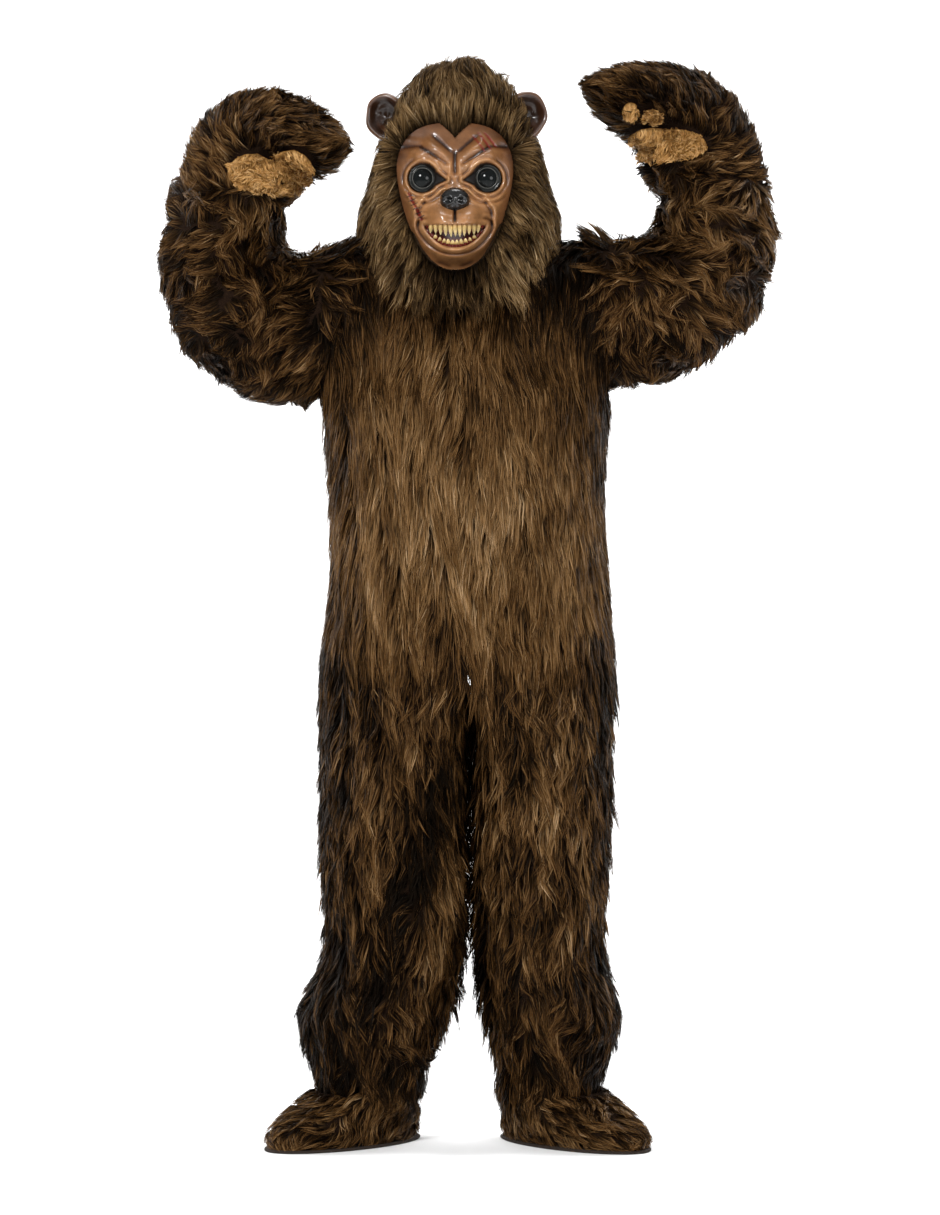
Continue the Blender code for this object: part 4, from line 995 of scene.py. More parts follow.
def soft_reach(angles):
    """The reach of the outline, evened out over some degrees."""
    spread = np.radians((-14.0, -9.0, -4.5, 0.0, 4.5, 9.0, 14.0))
    return sum(outline_reach(angles + step) for step in spread) / len(spread)


def mirrored(across, x):
    """The distance from a form's own x, on the side of the face that the point is on."""
    return across if x == 0.0 else np.abs(across) - x


def base_depth(across, height):
    """Y of the mask's large forms."""
    rings = np.hypot(across, height - FACE_Z) / soft_reach(np.arctan2(across, height - FACE_Z))
    rings = np.minimum(rings, 1.0)
    depth = FACE_EDGE_Y - FACE_DOME * (1.0 - rings ** 2)
    fade = smooth_step((1.0 - rings) / 0.35)
    for form in FACE_FORMS:
        sides = (form["x"],) if form["x"] == 0.0 else (form["x"], -form["x"])
        for x in sides:
            side = (across - x) / form["size_x"]
            up = (height - form["z"]) / form["size_z"]
            depth -= form["rise"] * fade * np.exp(-side ** 2 - up ** 2)
    return depth


def mouth_edges(across):
    """Top and bottom height of the mouth."""
    bulge = np.maximum(1.0 - (across / MOUTH_HALF_WIDTH) ** 2, 0.0)
    return MOUTH_CORNER_Z - MOUTH_TOP_SAG * bulge, MOUTH_CORNER_Z - 0.002 - MOUTH_BOTTOM_SAG * bulge ** 0.8


def mouth_distance(across, height):
    """Distance from the mouth's edge, negative inside."""
    along = np.sin(np.linspace(-math.pi / 2.0, math.pi / 2.0, 60)) * MOUTH_HALF_WIDTH
    top, low = mouth_edges(along)
    rim = np.stack([np.concatenate([along, along]), np.concatenate([top, low])], 1)
    apart = np.hypot(across[:, None] - rim[None, :, 0], height[:, None] - rim[None, :, 1]).min(1)
    own_top, own_low = mouth_edges(across)
    inside = (height < own_top) & (height > own_low) & (np.abs(across) < MOUTH_HALF_WIDTH)
    return np.where(inside, -apart, apart)


def line_form(across, height, line):
    start = np.array((line["x1"], line["z1"]))
    run = np.array((line["x2"], line["z2"])) - start
    place = np.stack([np.abs(across), height], 1) - start
    share = (place @ run) / (run @ run)
    clamped = np.clip(share, 0.0, 1.0)
    distance = np.linalg.norm(place - clamped[:, None] * run, axis=1)
    ends = smooth_step((clamped + 0.12) / 0.24) * smooth_step((1.12 - clamped) / 0.24)
    return line["rise"] * ends * np.exp(-(distance / line["width"]) ** 2)


def socket_distance(across, height):
    """Distance from the edge of the eye's dark socket, negative inside."""
    radius = np.hypot(mirrored(across, EYE_X), height - EYE_Z)
    distance, share = segment_distance(np.abs(across), height, SOCKET_CORNER)
    wide, narrow = SOCKET_WIDTHS
    return np.minimum(radius - SOCKET_RADIUS, distance - (wide + (narrow - wide) * share ** 0.8))


def face_detail(across, height):
    """Rise of the lips, lids, brows and creases over the large forms."""
    rise = np.zeros(len(across))
    for line in FACE_LINES:
        rise += line_form(across, height, line)
    socket = socket_distance(across, height)
    angle = np.degrees(np.arctan2(mirrored(across, EYE_X), height - EYE_Z))
    for arc in EYE_ARCS:
        turn = np.abs((angle - arc["middle"] + 180.0) % 360.0 - 180.0)
        window = smooth_step((arc["half"] - turn) / 35.0 + 0.5)
        rise += arc["rise"] * window * np.exp(-((socket - arc["distance"]) / arc["width"]) ** 2)
    rise -= 0.0035 * smooth_step(-socket / 0.003)
    mouth = mouth_distance(across, height)
    low = smooth_step((0.072 - height) / 0.02)
    muzzle = smooth_step((height - 0.076) / 0.010) * smooth_step((0.054 - np.abs(across)) / 0.010)
    plain = 1.0 - 0.92 * muzzle
    rise += 0.0050 * (1.0 - 0.6 * muzzle) * np.exp(-((mouth - 0.0045) / 0.0034) ** 2)
    rise -= 0.0032 * plain * np.exp(-((mouth - 0.0110) / 0.0022) ** 2)
    rise += (0.0022 - 0.0012 * low) * plain * np.exp(-((mouth - 0.0160) / 0.0034) ** 2)
    rise -= (0.0010 - 0.0006 * low) * plain * np.exp(-((mouth - 0.0220) / 0.0026) ** 2)
    return rise, socket, mouth


# Painted wounds: three scratches and a stitched cut
SCRATCHES = ((0.030, 0.236, 0.052, 0.204), (0.040, 0.240, 0.062, 0.209), (0.050, 0.241, 0.071, 0.214))
CUT = (-0.078, 0.136, -0.056, 0.092)


def paint_layer(mesh, name, values):
    layer = mesh.attributes.new(name, "FLOAT", "POINT")
    layer.data.foreach_set("value", np.asarray(values, np.float32))


def face_surface(across, height):
    """Y of the finished mask, how raised each point is, and how wounded."""
    rise, socket, mouth = face_detail(across, height)
    wound = np.zeros(len(across))
    for ends in SCRATCHES:
        distance, share = segment_distance(across, height, ends)
        slim = 0.0016 * np.sqrt(np.maximum(1.0 - (2.0 * share - 1.0) ** 2, 0.02))
        mark = np.exp(-(distance / slim) ** 2)
        rise -= 0.0016 * mark
        wound = np.maximum(wound, mark)
    distance, share = segment_distance(across, height, CUT)
    mark = np.exp(-(distance / 0.0022) ** 2)
    rise += 0.0016 * np.exp(-((distance - 0.0040) / 0.0018) ** 2) - 0.0024 * mark
    wound = np.maximum(wound, 0.9 * mark)
    depth = base_depth(across, height) - rise
    depth += 0.014 * smooth_step(-mouth / 0.0022)
    return depth, rise, wound, socket, mouth


def make_face():
    angles = np.linspace(0.0, 2.0 * math.pi, FACE_STEPS, endpoint=False)
    reach = soft_reach(angles)
    shares = np.linspace(0.0, 1.0, FACE_RINGS + 1)
    across = (shares[:, None] * (reach * np.sin(angles))[None, :]).ravel()
    height = FACE_Z + (shares[:, None] * (reach * np.cos(angles))[None, :]).ravel()
    depth, rise, wound, socket, mouth = face_surface(across, height)
    points = np.stack([FACE_X + across, depth, height], 1)
    faces = []
    for ring in range(FACE_RINGS):
        for step in range(FACE_STEPS):
            after = (step + 1) % FACE_STEPS
            low, high = ring * FACE_STEPS, (ring + 1) * FACE_STEPS
            if ring == 0:
                faces.append((0, high + step, high + after))
            else:
                faces.append((low + step, high + step, high + after, low + after))
    mesh = mesh_of("mask_skin", points, faces)
    ring_share = np.repeat(shares, FACE_STEPS)
    sideways = np.abs(np.tile(np.sin(angles), FACE_RINGS + 1))
    # Darker in the creases and lighter on the raised forms: the mask's airbrushed paint along with painted
    # shade and highlight
    tone = 0.62 + np.minimum(rise, 0.0) / 0.0085 + np.maximum(rise, 0.0) / 0.040
    # Painted shade on the face's sides near its edge, most where they turn sideways
    tone = tone - (0.06 + 0.20 * sideways) * smooth_step((ring_share - 0.80) / 0.20)
    tone = tone - 0.16 * smooth_step((height - 0.175) / 0.03)
    # Dark sockets, and painted shade in the mouth's recess behind the gums
    tone = tone - 0.75 * smooth_step((0.0010 - socket) / 0.003) - 0.50 * smooth_step(-mouth / 0.002)
    paint_layer(mesh, "tone", np.clip(tone, 0.0, 1.0))
    paint_layer(mesh, "wound", wound)
    piece = add_piece("mask_skin", mesh, latex)
    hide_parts("mask_face")


def revolved(profile, steps, place, scale=(1.0, 1.0)):
    """A form turned about the Y axis from rows of radius and Y."""
    points = []
    for radius, y in profile:
        for step in range(steps):
            angle = 2.0 * math.pi * step / steps
            points.append((place[0] + radius * scale[0] * math.sin(angle), place[1] + y,
                           place[2] + radius * scale[1] * math.cos(angle)))
    return np.array(points), ring_faces(len(profile), steps)


def spot_depth(across, height):
    return float(base_depth(np.array((across,)), np.array((height,)))[0])


def make_eyes():
    """Lenses: a glossy dome in a thin raised ring."""
    profile = []
    for step in range(15):
        turn = math.radians(40.0 * step / 14.0)
        profile.append((EYE_RADIUS * math.sin(turn), -EYE_RADIUS * math.cos(turn)))
    edge_y = profile[-1][1]
    profile += [(0.0162, edge_y + 0.0014), (0.0166, edge_y - 0.0004), (0.0172, edge_y - 0.0008),
                (0.0178, edge_y - 0.0002), (0.0182, edge_y + 0.0022), (0.0198, edge_y + 0.0020),
                (0.0212, edge_y + 0.0022), (0.0220, edge_y + 0.0010), (0.0230, edge_y + 0.0020),
                (0.0238, edge_y + 0.0050), (0.0243, edge_y + 0.0100), (0.0240, edge_y + 0.0150)]
    for side in SIDES:
        across = SIGN[side] * EYE_X
        place = (FACE_X + across, spot_depth(across, EYE_Z) + EYE_SINK, EYE_Z)
        points, faces = revolved(profile, 64, place)
        mesh = mesh_of("lens_" + side, points, faces)
        radii = np.repeat([radius for radius, _ in profile], 64)
        ring = 0.6 * np.exp(-((radii - 0.0172) / 0.0007) ** 2) + 0.04 * smooth_step((radii - 0.0180) / 0.001)
        ring = ring + 0.15 * np.exp(-((radii - 0.0222) / 0.0007) ** 2)
        paint_layer(mesh, "ring", np.clip(ring, 0.0, 1.0))
        piece = add_piece("lens_" + side, mesh, lens)
        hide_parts("eye_" + side)


def make_nose():
    """Moulded leather with two nostrils and a groove under them."""
    place = np.array((FACE_X, spot_depth(0.0, NOSE_Z) - NOSE_LIFT, NOSE_Z))
    rows, steps = 40, 72
    turns = np.linspace(0.0, math.pi, rows)[:, None]
    angles = np.linspace(0.0, 2.0 * math.pi, steps, endpoint=False)[None, :]
    x = (np.sin(turns) * np.sin(angles)).ravel()
    y = (-np.cos(turns) * np.ones_like(angles)).ravel()
    z = (np.sin(turns) * np.cos(angles)).ravel()
    swell = np.zeros(len(x))
    for side in (-1.0, 1.0):
        away = np.hypot((x - side * 0.44) / 0.27, (z + 0.05) / 0.25)
        front = smooth_step(-y / 0.3)
        swell -= 0.42 * front * smooth_step((1.05 - away) / 0.5)
        swell += 0.07 * front * np.exp(-((away - 1.3) / 0.28) ** 2)
    swell -= 0.10 * np.exp(-(x / 0.07) ** 2) * smooth_step((0.1 - z) / 0.4) * smooth_step(-y / 0.3)
    shape = np.stack([x, y, z], 1) * (1.0 + swell)[:, None]
    points = place + shape * NOSE_SIZE
    mesh = mesh_of("nose_leather", points, ring_faces(rows, steps))
    piece = add_piece("nose_leather", mesh, nose_gloss)
    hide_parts("nose")


# Rows of teeth: count, width of the row as a share of the mouth, length in the middle and at the ends, and
# their thickness
TOOTH_ROWS = table(
    "row count spread long short thick",
    ("upper", 11, 0.84, 0.0185, 0.0120, 0.0042),
    ("lower", 10, 0.70, 0.0080, 0.0055, 0.0030),
)


def gum_depth(across, height):
    """Y of the gums, from behind the upper lip to behind the lower one."""
    top, low = mouth_edges(across)
    share = np.clip((top - height) / np.maximum(top - low, 1e-4), 0.0, 1.0)
    upper = base_depth(across, top) + 0.0055
    lower = base_depth(across, low) + 0.0045
    return upper + (lower - upper) * share


def make_gums():
    """Gums behind the lips, swollen at the roots of the teeth."""
    columns, rows = 90, 26
    along = np.linspace(-0.985, 0.985, columns) * MOUTH_HALF_WIDTH
    top, low = mouth_edges(along)
    shares = np.linspace(-0.06, 1.06, rows)
    across = np.repeat(along[None, :], rows, 0).ravel()
    height = (top[None, :] + (low - top)[None, :] * shares[:, None]).ravel()
    depth = gum_depth(across, height)
    share = np.repeat(shares, columns)
    for teeth in TOOTH_ROWS:
        pitch = 2.0 * teeth["spread"] * MOUTH_HALF_WIDTH / teeth["count"]
        wave = np.cos(2.0 * math.pi * (across / pitch + (0.5 if teeth["count"] % 2 == 0 else 0.0)))
        place = 0.04 if teeth["row"] == "upper" else 0.86
        depth -= (0.0016 + 0.0014 * wave) * np.exp(-((share - place) / 0.16) ** 2)
    points = np.stack([FACE_X + across, depth, height], 1)
    faces = [(r * columns + c, r * columns + c + 1, (r + 1) * columns + c + 1, (r + 1) * columns + c)
             for r in range(rows - 1) for c in range(columns - 1)]
    mesh = mesh_of("gums", points, faces)
    # Painted shade across the middle of the gums, in the depth of the mouth
    mouth_shade = np.exp(-((share - 0.5) / 0.22) ** 2)
    paint_layer(mesh, "mouth_shade", mouth_shade)
    return mesh


def make_teeth():
    """Two rows of pointed teeth, on their gums."""
    own = np.random.default_rng(21)
    points, faces, places = [], [], []
    rings, sides = 9, 12
    for teeth in TOOTH_ROWS:
        upper = teeth["row"] == "upper"
        for number in range(teeth["count"]):
            share = ((number + 0.5) / teeth["count"] - 0.5) * 2.0 * teeth["spread"]
            across = share * MOUTH_HALF_WIDTH
            top, low = (float(v[0]) for v in mouth_edges(np.array((across,))))
            length = teeth["short"] + (teeth["long"] - teeth["short"]) * (1.0 - share ** 2)
            length = min(length * own.uniform(0.88, 1.10), (top - low) * (0.72 if upper else 0.42))
            root = top + 0.0010 if upper else low + (top - low) * 0.13
            heading = -1.0 if upper else 1.0
            radius = MOUTH_HALF_WIDTH * teeth["spread"] / teeth["count"] * own.uniform(1.00, 1.14)
            lean = own.normal(0.0, 0.06)
            start = len(points)
            for ring in range(rings):
                along = ring / (rings - 1.0)
                slim = (1.0 - along ** 2.2) ** 0.85
                height = root + heading * length * along
                middle = across + lean * length * along
                spot = np.array((middle,)), np.array((height,))
                swell = (0.0022 if upper else 0.0010) + 0.0010 * math.sin(along * math.pi)
                y = float(gum_depth(*spot)[0]) - swell
                for side in range(sides):
                    angle = 2.0 * math.pi * side / sides
                    points.append((FACE_X + middle + radius * slim * math.sin(angle),
                                   y - teeth["thick"] * slim * math.cos(angle), height))
                    places.append(along)
            faces += ring_faces(rings, sides, start)
    mesh = mesh_of("teeth", points, faces)
    paint_layer(mesh, "along", places)
    gums = add_piece("gums", make_gums(), gum_skin)
    piece = add_piece("teeth", mesh, enamel)
    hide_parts("teeth_and_gums")
    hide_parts("teeth_and_gums")


def make_stitches():
    """Short threads across the cut on the cheek."""
    points, faces = [], []
    start, end = np.array(CUT[:2]), np.array(CUT[2:])
    way = unit((end - start)[None])[0]
    side = np.array((-way[1], way[0]))
    sides, rings = 6, 7
    for number in range(6):
        middle = start + (end - start) * (0.08 + 0.168 * number)
        first = len(points)
        for ring in range(rings):
            along = ring / (rings - 1.0) * 2.0 - 1.0
            spot = middle + side * (0.0062 * along) + way * (0.0010 * along)
            y = float(face_surface(np.array((spot[0],)), np.array((spot[1],)))[0][0])
            y -= 0.0012 * (1.0 - along ** 2) - 0.0002
            radius = 0.00065
            for turn in range(sides):
                angle = 2.0 * math.pi * turn / sides
                offset = way * (radius * math.cos(angle))
                points.append((FACE_X + spot[0] + offset[0], y + radius * math.sin(angle),
                               spot[1] + offset[1]))
        faces += ring_faces(rings, sides, first)
    add_piece("cheek_stitches", mesh_of("cheek_stitches", points, faces), thread)


# Fur round the mask's edge, and the peak of fur that hangs into the middle of the forehead
RUFF_STRANDS = 6800
RUFF_LOCKS = 190
RUFF_LENGTH = 0.052
PEAK_STRANDS = 900
PEAK_TOP = 0.259
PEAK_LOW = 0.229
PEAK_HALF_WIDTH = 0.030
PEAK_LENGTH = 0.040
RUFF_WIDTH = 0.0016
PEAK_WIDTH = 0.0015


def lock_paths(roots, flows, outward, lengths, lift):
    """Strand paths of four points that first stand up from the root and then lie along the flow."""
    path = [roots]
    for share, up in ((0.36, lift), (0.34, lift * 0.35), (0.30, -0.10)):
        way = unit(flows * (1.0 - abs(up) * 0.4) + outward * up)
        path.append(path[-1] + way * (lengths * share)[:, None])
    return np.stack(path, 1)


def make_ruff():
    """Strands from the seam between mask and hood, lying out over the hood's fur."""
    own = np.random.default_rng(31)
    halves = {node: surface(node) for node in FUR_NODES if kind_of(node)[0] == "hood"}
    hood = outer_tree(halves, list(halves))
    count = int(RUFF_STRANDS * (1.0))
    edges = np.linspace(0.0, 2.0 * math.pi, 73)
    reach = soft_reach(edges)
    hood_y = []
    for angle, distance in zip(edges, reach):
        spot = (FACE_X + 1.07 * distance * math.sin(angle), -0.5, FACE_Z + 1.07 * distance * math.cos(angle))
        found = hood.ray_cast(Vector(spot), Vector((0.0, 1.0, 0.0)))[0]
        hood_y.append(found.y if found else FACE_EDGE_Y)
    angle = own.uniform(0.0, 2.0 * math.pi, count)
    under = own.uniform(size=count) < 0.22
    angle = np.where(under, math.pi + own.normal(0.0, 0.42, count), angle) % (2.0 * math.pi)
    depth_share = own.uniform(0.0, 1.0, count) ** 0.8
    front = np.minimum(np.interp(angle, edges, hood_y), FACE_EDGE_Y - 0.004) + 0.003
    y = (FACE_EDGE_Y + 0.002) * (1.0 - depth_share) + front * depth_share
    distance = np.interp(angle, edges, reach) * (0.985 + 0.045 * depth_share + own.uniform(0.0, 0.02, count))
    radial = np.stack([np.sin(angle), np.zeros(count), np.cos(angle)], 1)
    roots = radial * distance[:, None] + (FACE_X, 0.0, FACE_Z)
    roots[:, 1] = y
    forward = np.tile((0.0, -1.0, 0.0), (count, 1))
    flows = flow_of(roots, forward, "hood", "left")
    flows = unit(flows + radial * 0.55)
    locks = (angle / (2.0 * math.pi) * RUFF_LOCKS).astype(int)
    sway = own.normal(0.0, 0.20, (RUFF_LOCKS + 1, 3))[locks]
    size = own.uniform(0.75, 1.25, RUFF_LOCKS + 1)[locks] * own.uniform(0.7, 1.0, count)
    low = smooth_step((0.055 - roots[:, 2]) / 0.04)
    flows = unit(flows + sway + own.normal(0.0, 0.07, (count, 3)))
    lift = 0.95 - 0.35 * low
    paths = lock_paths(roots, flows, forward * lift[:, None] / 0.95, RUFF_LENGTH * size, 0.95)
    middle = (locks + 0.5) / RUFF_LOCKS * 2.0 * math.pi
    drawn = (angle - middle) * distance
    tangent = np.stack([np.cos(angle), np.zeros(count), -np.sin(angle)], 1)
    pull = np.array((0.0, 0.30, 0.62, 0.85))
    paths -= tangent[:, None, :] * (drawn[:, None] * pull)[..., None]
    # Painted shadow under the chin: the ruff's lowest strands are darker
    tones = fur_tone_and_shade(roots, "hood", "left") - 0.02 - 0.22 * low
    tones += own.normal(0.0, 0.09, RUFF_LOCKS + 1)[locks] + own.normal(0.0, 0.13, count)
    widths = RUFF_WIDTH * own.uniform(*WIDTH_SPREAD, count)
    mesh = strand_mesh("hood_ruff", paths, forward, widths, tones, own)
    add_piece("hood_ruff", mesh, hood_fur)


def make_peak():
    """Upright strands that cover the middle of the mask's upper edge down to a point."""
    own = np.random.default_rng(32)
    count = int(PEAK_STRANDS * (1.0))
    share = np.sqrt(own.uniform(0.0, 1.0, count))
    height = PEAK_LOW + (PEAK_TOP - PEAK_LOW) * share
    across = own.uniform(-1.0, 1.0, count) * PEAK_HALF_WIDTH * share ** 1.3
    inside = np.minimum(height, 0.254)
    y = base_depth(across, inside) - 0.0012
    roots = np.stack([FACE_X + across, y, height], 1)
    forward = np.tile((0.0, -1.0, 0.0), (count, 1))
    upward = np.stack([across * 9.0, np.zeros(count), np.ones(count)], 1)
    flows = unit(upward + own.normal(0.0, 0.09, (count, 3)))
    lengths = PEAK_LENGTH * own.uniform(0.65, 1.2, count)
    paths = lock_paths(roots, flows, forward, lengths, 0.40)
    tones = 0.50 + own.normal(0.0, 0.16, count) - 0.10 * (1.0 - share)
    widths = PEAK_WIDTH * own.uniform(*WIDTH_SPREAD, count)
    mesh = strand_mesh("hood_peak", paths, forward, widths, tones, own)
    add_piece("hood_peak", mesh, hood_fur)


# Ears: radius and Y of the profile from the back over the rim into the hollow
EAR_SIZE = (0.037, 0.043)
EAR_PROFILE = ((0.0, 0.0165), (0.35, 0.0155), (0.66, 0.0125), (0.88, 0.0078), (0.98, 0.0020), (1.0, -0.0020),
               (0.985, -0.0070), (0.93, -0.0112), (0.85, -0.0128), (0.77, -0.0112), (0.68, -0.0068),
               (0.55, -0.0015), (0.38, 0.0025), (0.20, 0.0045), (0.0, 0.0050))
EAR_PLACE = {"left": (-0.143, -0.022, 0.278), "right": (0.096, -0.022, 0.281)}
EAR_LEAN = 14.0
EAR_TURN = 12.0


def make_ears():
    """Bowls of latex with rippled hollows."""
    rows = np.array(EAR_PROFILE)
    steps = np.concatenate([[0.0], np.cumsum(np.linalg.norm(np.diff(rows * (0.04, 1.0), axis=0), axis=1))])
    fine = np.linspace(0.0, steps[-1], 46)
    profile = np.stack([np.interp(fine, steps, rows[:, 0]), np.interp(fine, steps, rows[:, 1])], 1)
    for _ in range(3):
        profile[1:-1] = (profile[:-2] + 2.0 * profile[1:-1] + profile[2:]) / 4.0
    for side in SIDES:
        points, faces = revolved(profile, 72, (0.0, 0.0, 0.0), EAR_SIZE)
        radius = np.repeat(profile[:, 0], 72)
        hollow = np.repeat(smooth_step((np.arange(46) - 24) / 10.0), 72)
        angle = np.arctan2(points[:, 0], points[:, 2])
        ripple = 0.0022 * np.sin(3.0 * angle + 0.8) * radius * (1.0 - radius) * 4.0
        ripple += 0.0026 * np.exp(-((radius - 0.42) / 0.10) ** 2) * np.clip(np.cos(angle), 0.0, 1.0)
        points[:, 1] -= ripple * hollow
        points[:, 0] += 0.0012 * np.sin(5.0 * angle + 1.0) * radius
        lean, turn = math.radians(SIGN[side] * EAR_LEAN), math.radians(SIGN[side] * EAR_TURN)
        about_y = np.array(((math.cos(lean), 0.0, math.sin(lean)), (0.0, 1.0, 0.0),
                            (-math.sin(lean), 0.0, math.cos(lean))))
        about_z = np.array(((math.cos(turn), -math.sin(turn), 0.0), (math.sin(turn), math.cos(turn), 0.0),
                            (0.0, 0.0, 1.0)))
        placed = points @ about_y.T @ about_z.T + EAR_PLACE[side]
        mesh = mesh_of("ear_skin_" + side, placed, faces)
        # Lighter rim, and painted shade darkening the hollow
        tone = 0.20 + 0.14 * np.exp(-((radius - 0.90) / 0.09) ** 2) - 0.14 * hollow
        # Painted highlight on the lower side of the hollow
        lower = np.clip(-points[:, 2] / 0.02, 0.0, 1.0)
        tone = tone + 0.30 * hollow * np.exp(-((radius - 0.45) / 0.12) ** 2) * lower
        paint_layer(mesh, "tone", np.clip(tone, 0.0, 1.0))
        paint_layer(mesh, "wound", np.zeros(len(points)))
        piece = add_piece("ear_skin_" + side, mesh, latex)
        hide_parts("ear_" + side)


# Soles of the boot covers: half length, half width and their bevel
SOLE_MIDDLE = 0.062
SOLE_HALF = (0.163, 0.080)
SOLE_PROFILE = ((0.0, 0.0), (0.90, 0.0), (0.985, 0.0), (1.0, 0.0012), (1.0, 0.0038),
                (0.985, 0.0050), (0.0, 0.0050))
SOLE_STEPS = 96


def make_soles():
    """Felt ovals under the boot covers."""
    for side in SIDES:
        forward = turned(side)
        across = np.array((-forward[1], forward[0], 0.0))
        middle = np.array((BOOT_PLACE[side][0], 0.0, cad_low.z)) + forward * SOLE_MIDDLE
        points = []
        for share, z in SOLE_PROFILE:
            for step in range(SOLE_STEPS):
                angle = 2.0 * math.pi * step / SOLE_STEPS
                points.append(middle + forward * (SOLE_HALF[0] * share * math.cos(angle))
                              + across * (SOLE_HALF[1] * share * math.sin(angle)) + (0.0, 0.0, z))
        faces = ring_faces(len(SOLE_PROFILE), SOLE_STEPS)
        mesh = mesh_of("felt_sole_" + side, points, faces, smooth=False)
        piece = add_piece("felt_sole_" + side, mesh, felt)
        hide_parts("sole_" + side)


def attribute(tree, name):
    """A value painted on the points."""
    node = tree.nodes.new("ShaderNodeAttribute")
    node.attribute_name = name
    return node.outputs["Fac"]


def latex_material():
    """Painted latex: dark in the creases and tan on the raised forms, partly airbrushed paint and partly
    painted shade and highlight; red in the wounds.
    """
    material, tree, shader = new_material("painted_latex", 0.34, Specular_IOR_Level=0.35,
                                          Coat_Weight=0.40, Coat_Roughness=0.09)
    colour = ramp(tree, attribute(tree, "tone"), (
        (0.0, (0.004, 0.002, 0.001)), (0.22, (0.046, 0.016, 0.006)), (0.48, (0.158, 0.066, 0.023)),
        (0.72, (0.300, 0.142, 0.054)), (1.0, (0.500, 0.285, 0.125))))
    cloud = ramp(tree, noise(tree, 55.0, 4.0, 0.6), ((0.30, grey(0.72)), (0.70, grey(1.18))))
    colour = mix(tree, "MULTIPLY", colour, cloud)
    colour = mix(tree, "MIX", colour, (0.160, 0.010, 0.008), attribute(tree, "wound"))
    tree.links.new(colour, shader.inputs["Base Color"])
    pores = noise(tree, 420.0, 3.0, 0.6)
    folds = noise(tree, 95.0, 4.0, 0.65)
    both = mix(tree, "ADD", mix(tree, "MULTIPLY", pores, grey(0.35)), folds)
    bump(tree, shader, both, 0.0014, 0.40)
    return material


def lens_material():
    """Black gloss with a pale ring."""
    material, tree, shader = new_material("eye_lens", 0.05, Specular_IOR_Level=0.16)
    colour = ramp(tree, attribute(tree, "ring"), ((0.0, (0.004, 0.005, 0.005)), (1.0, (0.150, 0.145, 0.130))))
    tree.links.new(colour, shader.inputs["Base Color"])
    return material


def nose_material():
    """Black gloss with a fine grain."""
    material, tree, shader = new_material("nose_gloss", 0.16, Specular_IOR_Level=0.55)
    grain = noise(tree, 260.0, 2.0, 0.5)
    tree.links.new(ramp(tree, grain, ((0.3, grey(0.004)), (0.7, grey(0.012)))), shader.inputs["Base Color"])
    bump(tree, shader, grain, 0.0006, 0.5)
    return material


def gum_material():
    """Wet red gums, with painted shade darkening them in the depth of the mouth."""
    material, tree, shader = new_material("gum_skin", 0.22, Specular_IOR_Level=0.6)
    colour = ramp(tree, attribute(tree, "mouth_shade"), ((0.0, (0.120, 0.016, 0.012)), (1.0, (0.016, 0.003, 0.002))))
    tree.links.new(colour, shader.inputs["Base Color"])
    bump(tree, shader, noise(tree, 220.0, 3.0), 0.0008, 0.6)
    return material


def enamel_material():
    """Yellowed teeth, brown at the roots."""
    material, tree, shader = new_material("tooth_enamel", 0.28, Specular_IOR_Level=0.5)
    colour = ramp(tree, attribute(tree, "along"), (
        (0.0, (0.200, 0.080, 0.025)), (0.22, (0.520, 0.340, 0.110)), (1.0, (0.740, 0.600, 0.300))))
    stain = ramp(tree, noise(tree, 160.0, 3.0), ((0.35, grey(0.70)), (0.65, grey(1.0))))
    tree.links.new(mix(tree, "MULTIPLY", colour, stain), shader.inputs["Base Color"])
    return material


def felt_material():
    """Dark felt."""
    material, tree, shader = new_material("felt", 0.95, Specular_IOR_Level=0.15)
    fibre = noise(tree, 700.0, 4.0, 0.7)
    tree.links.new(ramp(tree, fibre, ((0.3, (0.012, 0.009, 0.007)), (0.7, (0.040, 0.030, 0.024)))),
                   shader.inputs["Base Color"])
    bump(tree, shader, fibre, 0.0005, 0.8)
    return material


latex = latex_material()
lens = lens_material()
nose_gloss = nose_material()
gum_skin = gum_material()
enamel = enamel_material()
felt = felt_material()
thread, _, thread_shader = new_material("stitch_thread", 0.6)
thread_shader.inputs["Base Color"].default_value = (0.012, 0.008, 0.006, 1.0)
make_face()
make_ruff()
make_peak()
make_eyes()
make_nose()
make_teeth()
make_stitches()
make_ears()
make_soles()


# Camera, light and floor


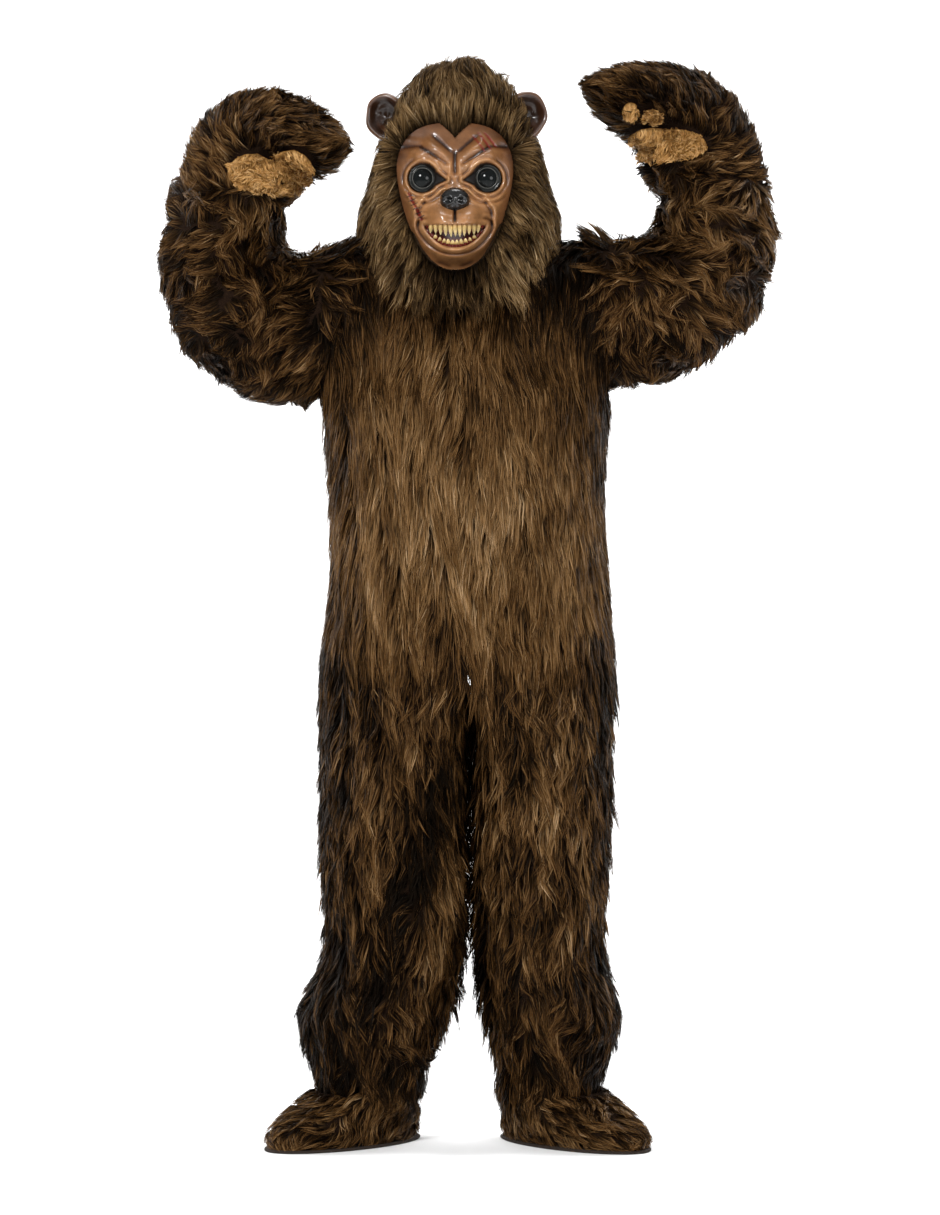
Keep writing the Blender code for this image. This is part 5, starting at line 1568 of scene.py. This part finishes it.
def make_stage():
    """A floor that curves up into a wall, which shows from the front only."""
    material, tree, shader = new_material("floor_paper", 0.9, Specular_IOR_Level=0.1)
    colour = ramp(tree, noise(tree, 3.0), ((0.0, grey(0.86)), (1.0, grey(0.90))))
    tree.links.new(colour, shader.inputs["Base Color"])
    facing = tree.nodes.new("ShaderNodeNewGeometry")
    clear = tree.nodes.new("ShaderNodeBsdfTransparent")
    both = tree.nodes.new("ShaderNodeMixShader")
    tree.links.new(facing.outputs["Backfacing"], both.inputs["Fac"])
    tree.links.new(shader.outputs["BSDF"], both.inputs[1])
    tree.links.new(clear.outputs["BSDF"], both.inputs[2])
    tree.links.new(both.outputs["Shader"], tree.nodes["Material Output"].inputs["Surface"])
    points = []
    profile = [(-8.0, 0.0), (1.2, 0.0)]
    for step in range(1, 9):
        angle = math.pi / 2.0 * step / 8.0
        profile.append((1.2 + 1.2 * math.sin(angle), 1.2 - 1.2 * math.cos(angle)))
    profile.append((2.4, 9.0))
    for x in (-9.0, 9.0):
        points += [(x, y, cad_low.z + z) for y, z in profile]
    rows = len(profile)
    faces = [(k, rows + k, rows + k + 1, k + 1) for k in range(rows - 1)]
    sweep = bpy.data.objects.new("floor_sweep", mesh_of("floor_sweep", points, faces))
    bpy.context.scene.collection.objects.link(sweep)
    sweep.data.materials.append(material)


LAMPS = (
    ("key", (-1.9, -4.6, 2.3), (0.0, 0.0, -0.3), 1.3, 280.0),
    ("fill", (2.9, -4.4, 0.5), (0.0, 0.0, -0.5), 2.2, 95.0),
    ("top", (0.2, 0.4, 3.4), (0.0, 0.0, -0.5), 2.0, 70.0),
    ("backdrop_lamp", (-2.6, 0.9, 0.4), (-0.52, 2.4, 0.0), 1.4, 130.0),
    ("backdrop_lamp", (2.6, 0.9, 0.4), (0.52, 2.4, 0.0), 1.4, 130.0),
)
# Distance of the camera, its height, and half the width that it sees at that distance
CAMERA_AWAY = 6.5
CAMERA_Z = -0.564
CAMERA_HALF = 1.048
SENSOR = 36.0
WORLD_LIGHT = 0.36


def add_lamp(name, place, target, size, power):
    """A round lamp that shines on a target."""
    lamp = bpy.data.lights.new(name, "AREA")
    lamp.shape = "DISK"
    lamp.size = size
    lamp.energy = power
    thing = bpy.data.objects.new(name, lamp)
    bpy.context.scene.collection.objects.link(thing)
    thing.location = place
    thing.rotation_euler = (Vector(target) - Vector(place)).to_track_quat("-Z", "Y").to_euler()


def make_camera():
    """The camera in front of the costume."""
    camera = bpy.data.cameras.new("camera")
    camera.sensor_width = SENSOR
    camera.lens = SENSOR / 2.0 / (CAMERA_HALF / CAMERA_AWAY)
    thing = bpy.data.objects.new("camera", camera)
    bpy.context.scene.collection.objects.link(thing)
    thing.location = (0.0, -CAMERA_AWAY, CAMERA_Z)
    thing.rotation_euler = (math.pi / 2.0, 0.0, 0.0)
    bpy.context.scene.camera = thing


make_stage()
for row in LAMPS:
    add_lamp(*row)
world = bpy.data.worlds.new("studio")
world.use_nodes = True
world.node_tree.nodes["Background"].inputs["Color"].default_value = (1.0, 1.0, 1.0, 1.0)
world.node_tree.nodes["Background"].inputs["Strength"].default_value = WORLD_LIGHT
bpy.context.scene.world = world
bpy.context.scene.view_settings.view_transform = "Standard"
make_camera()
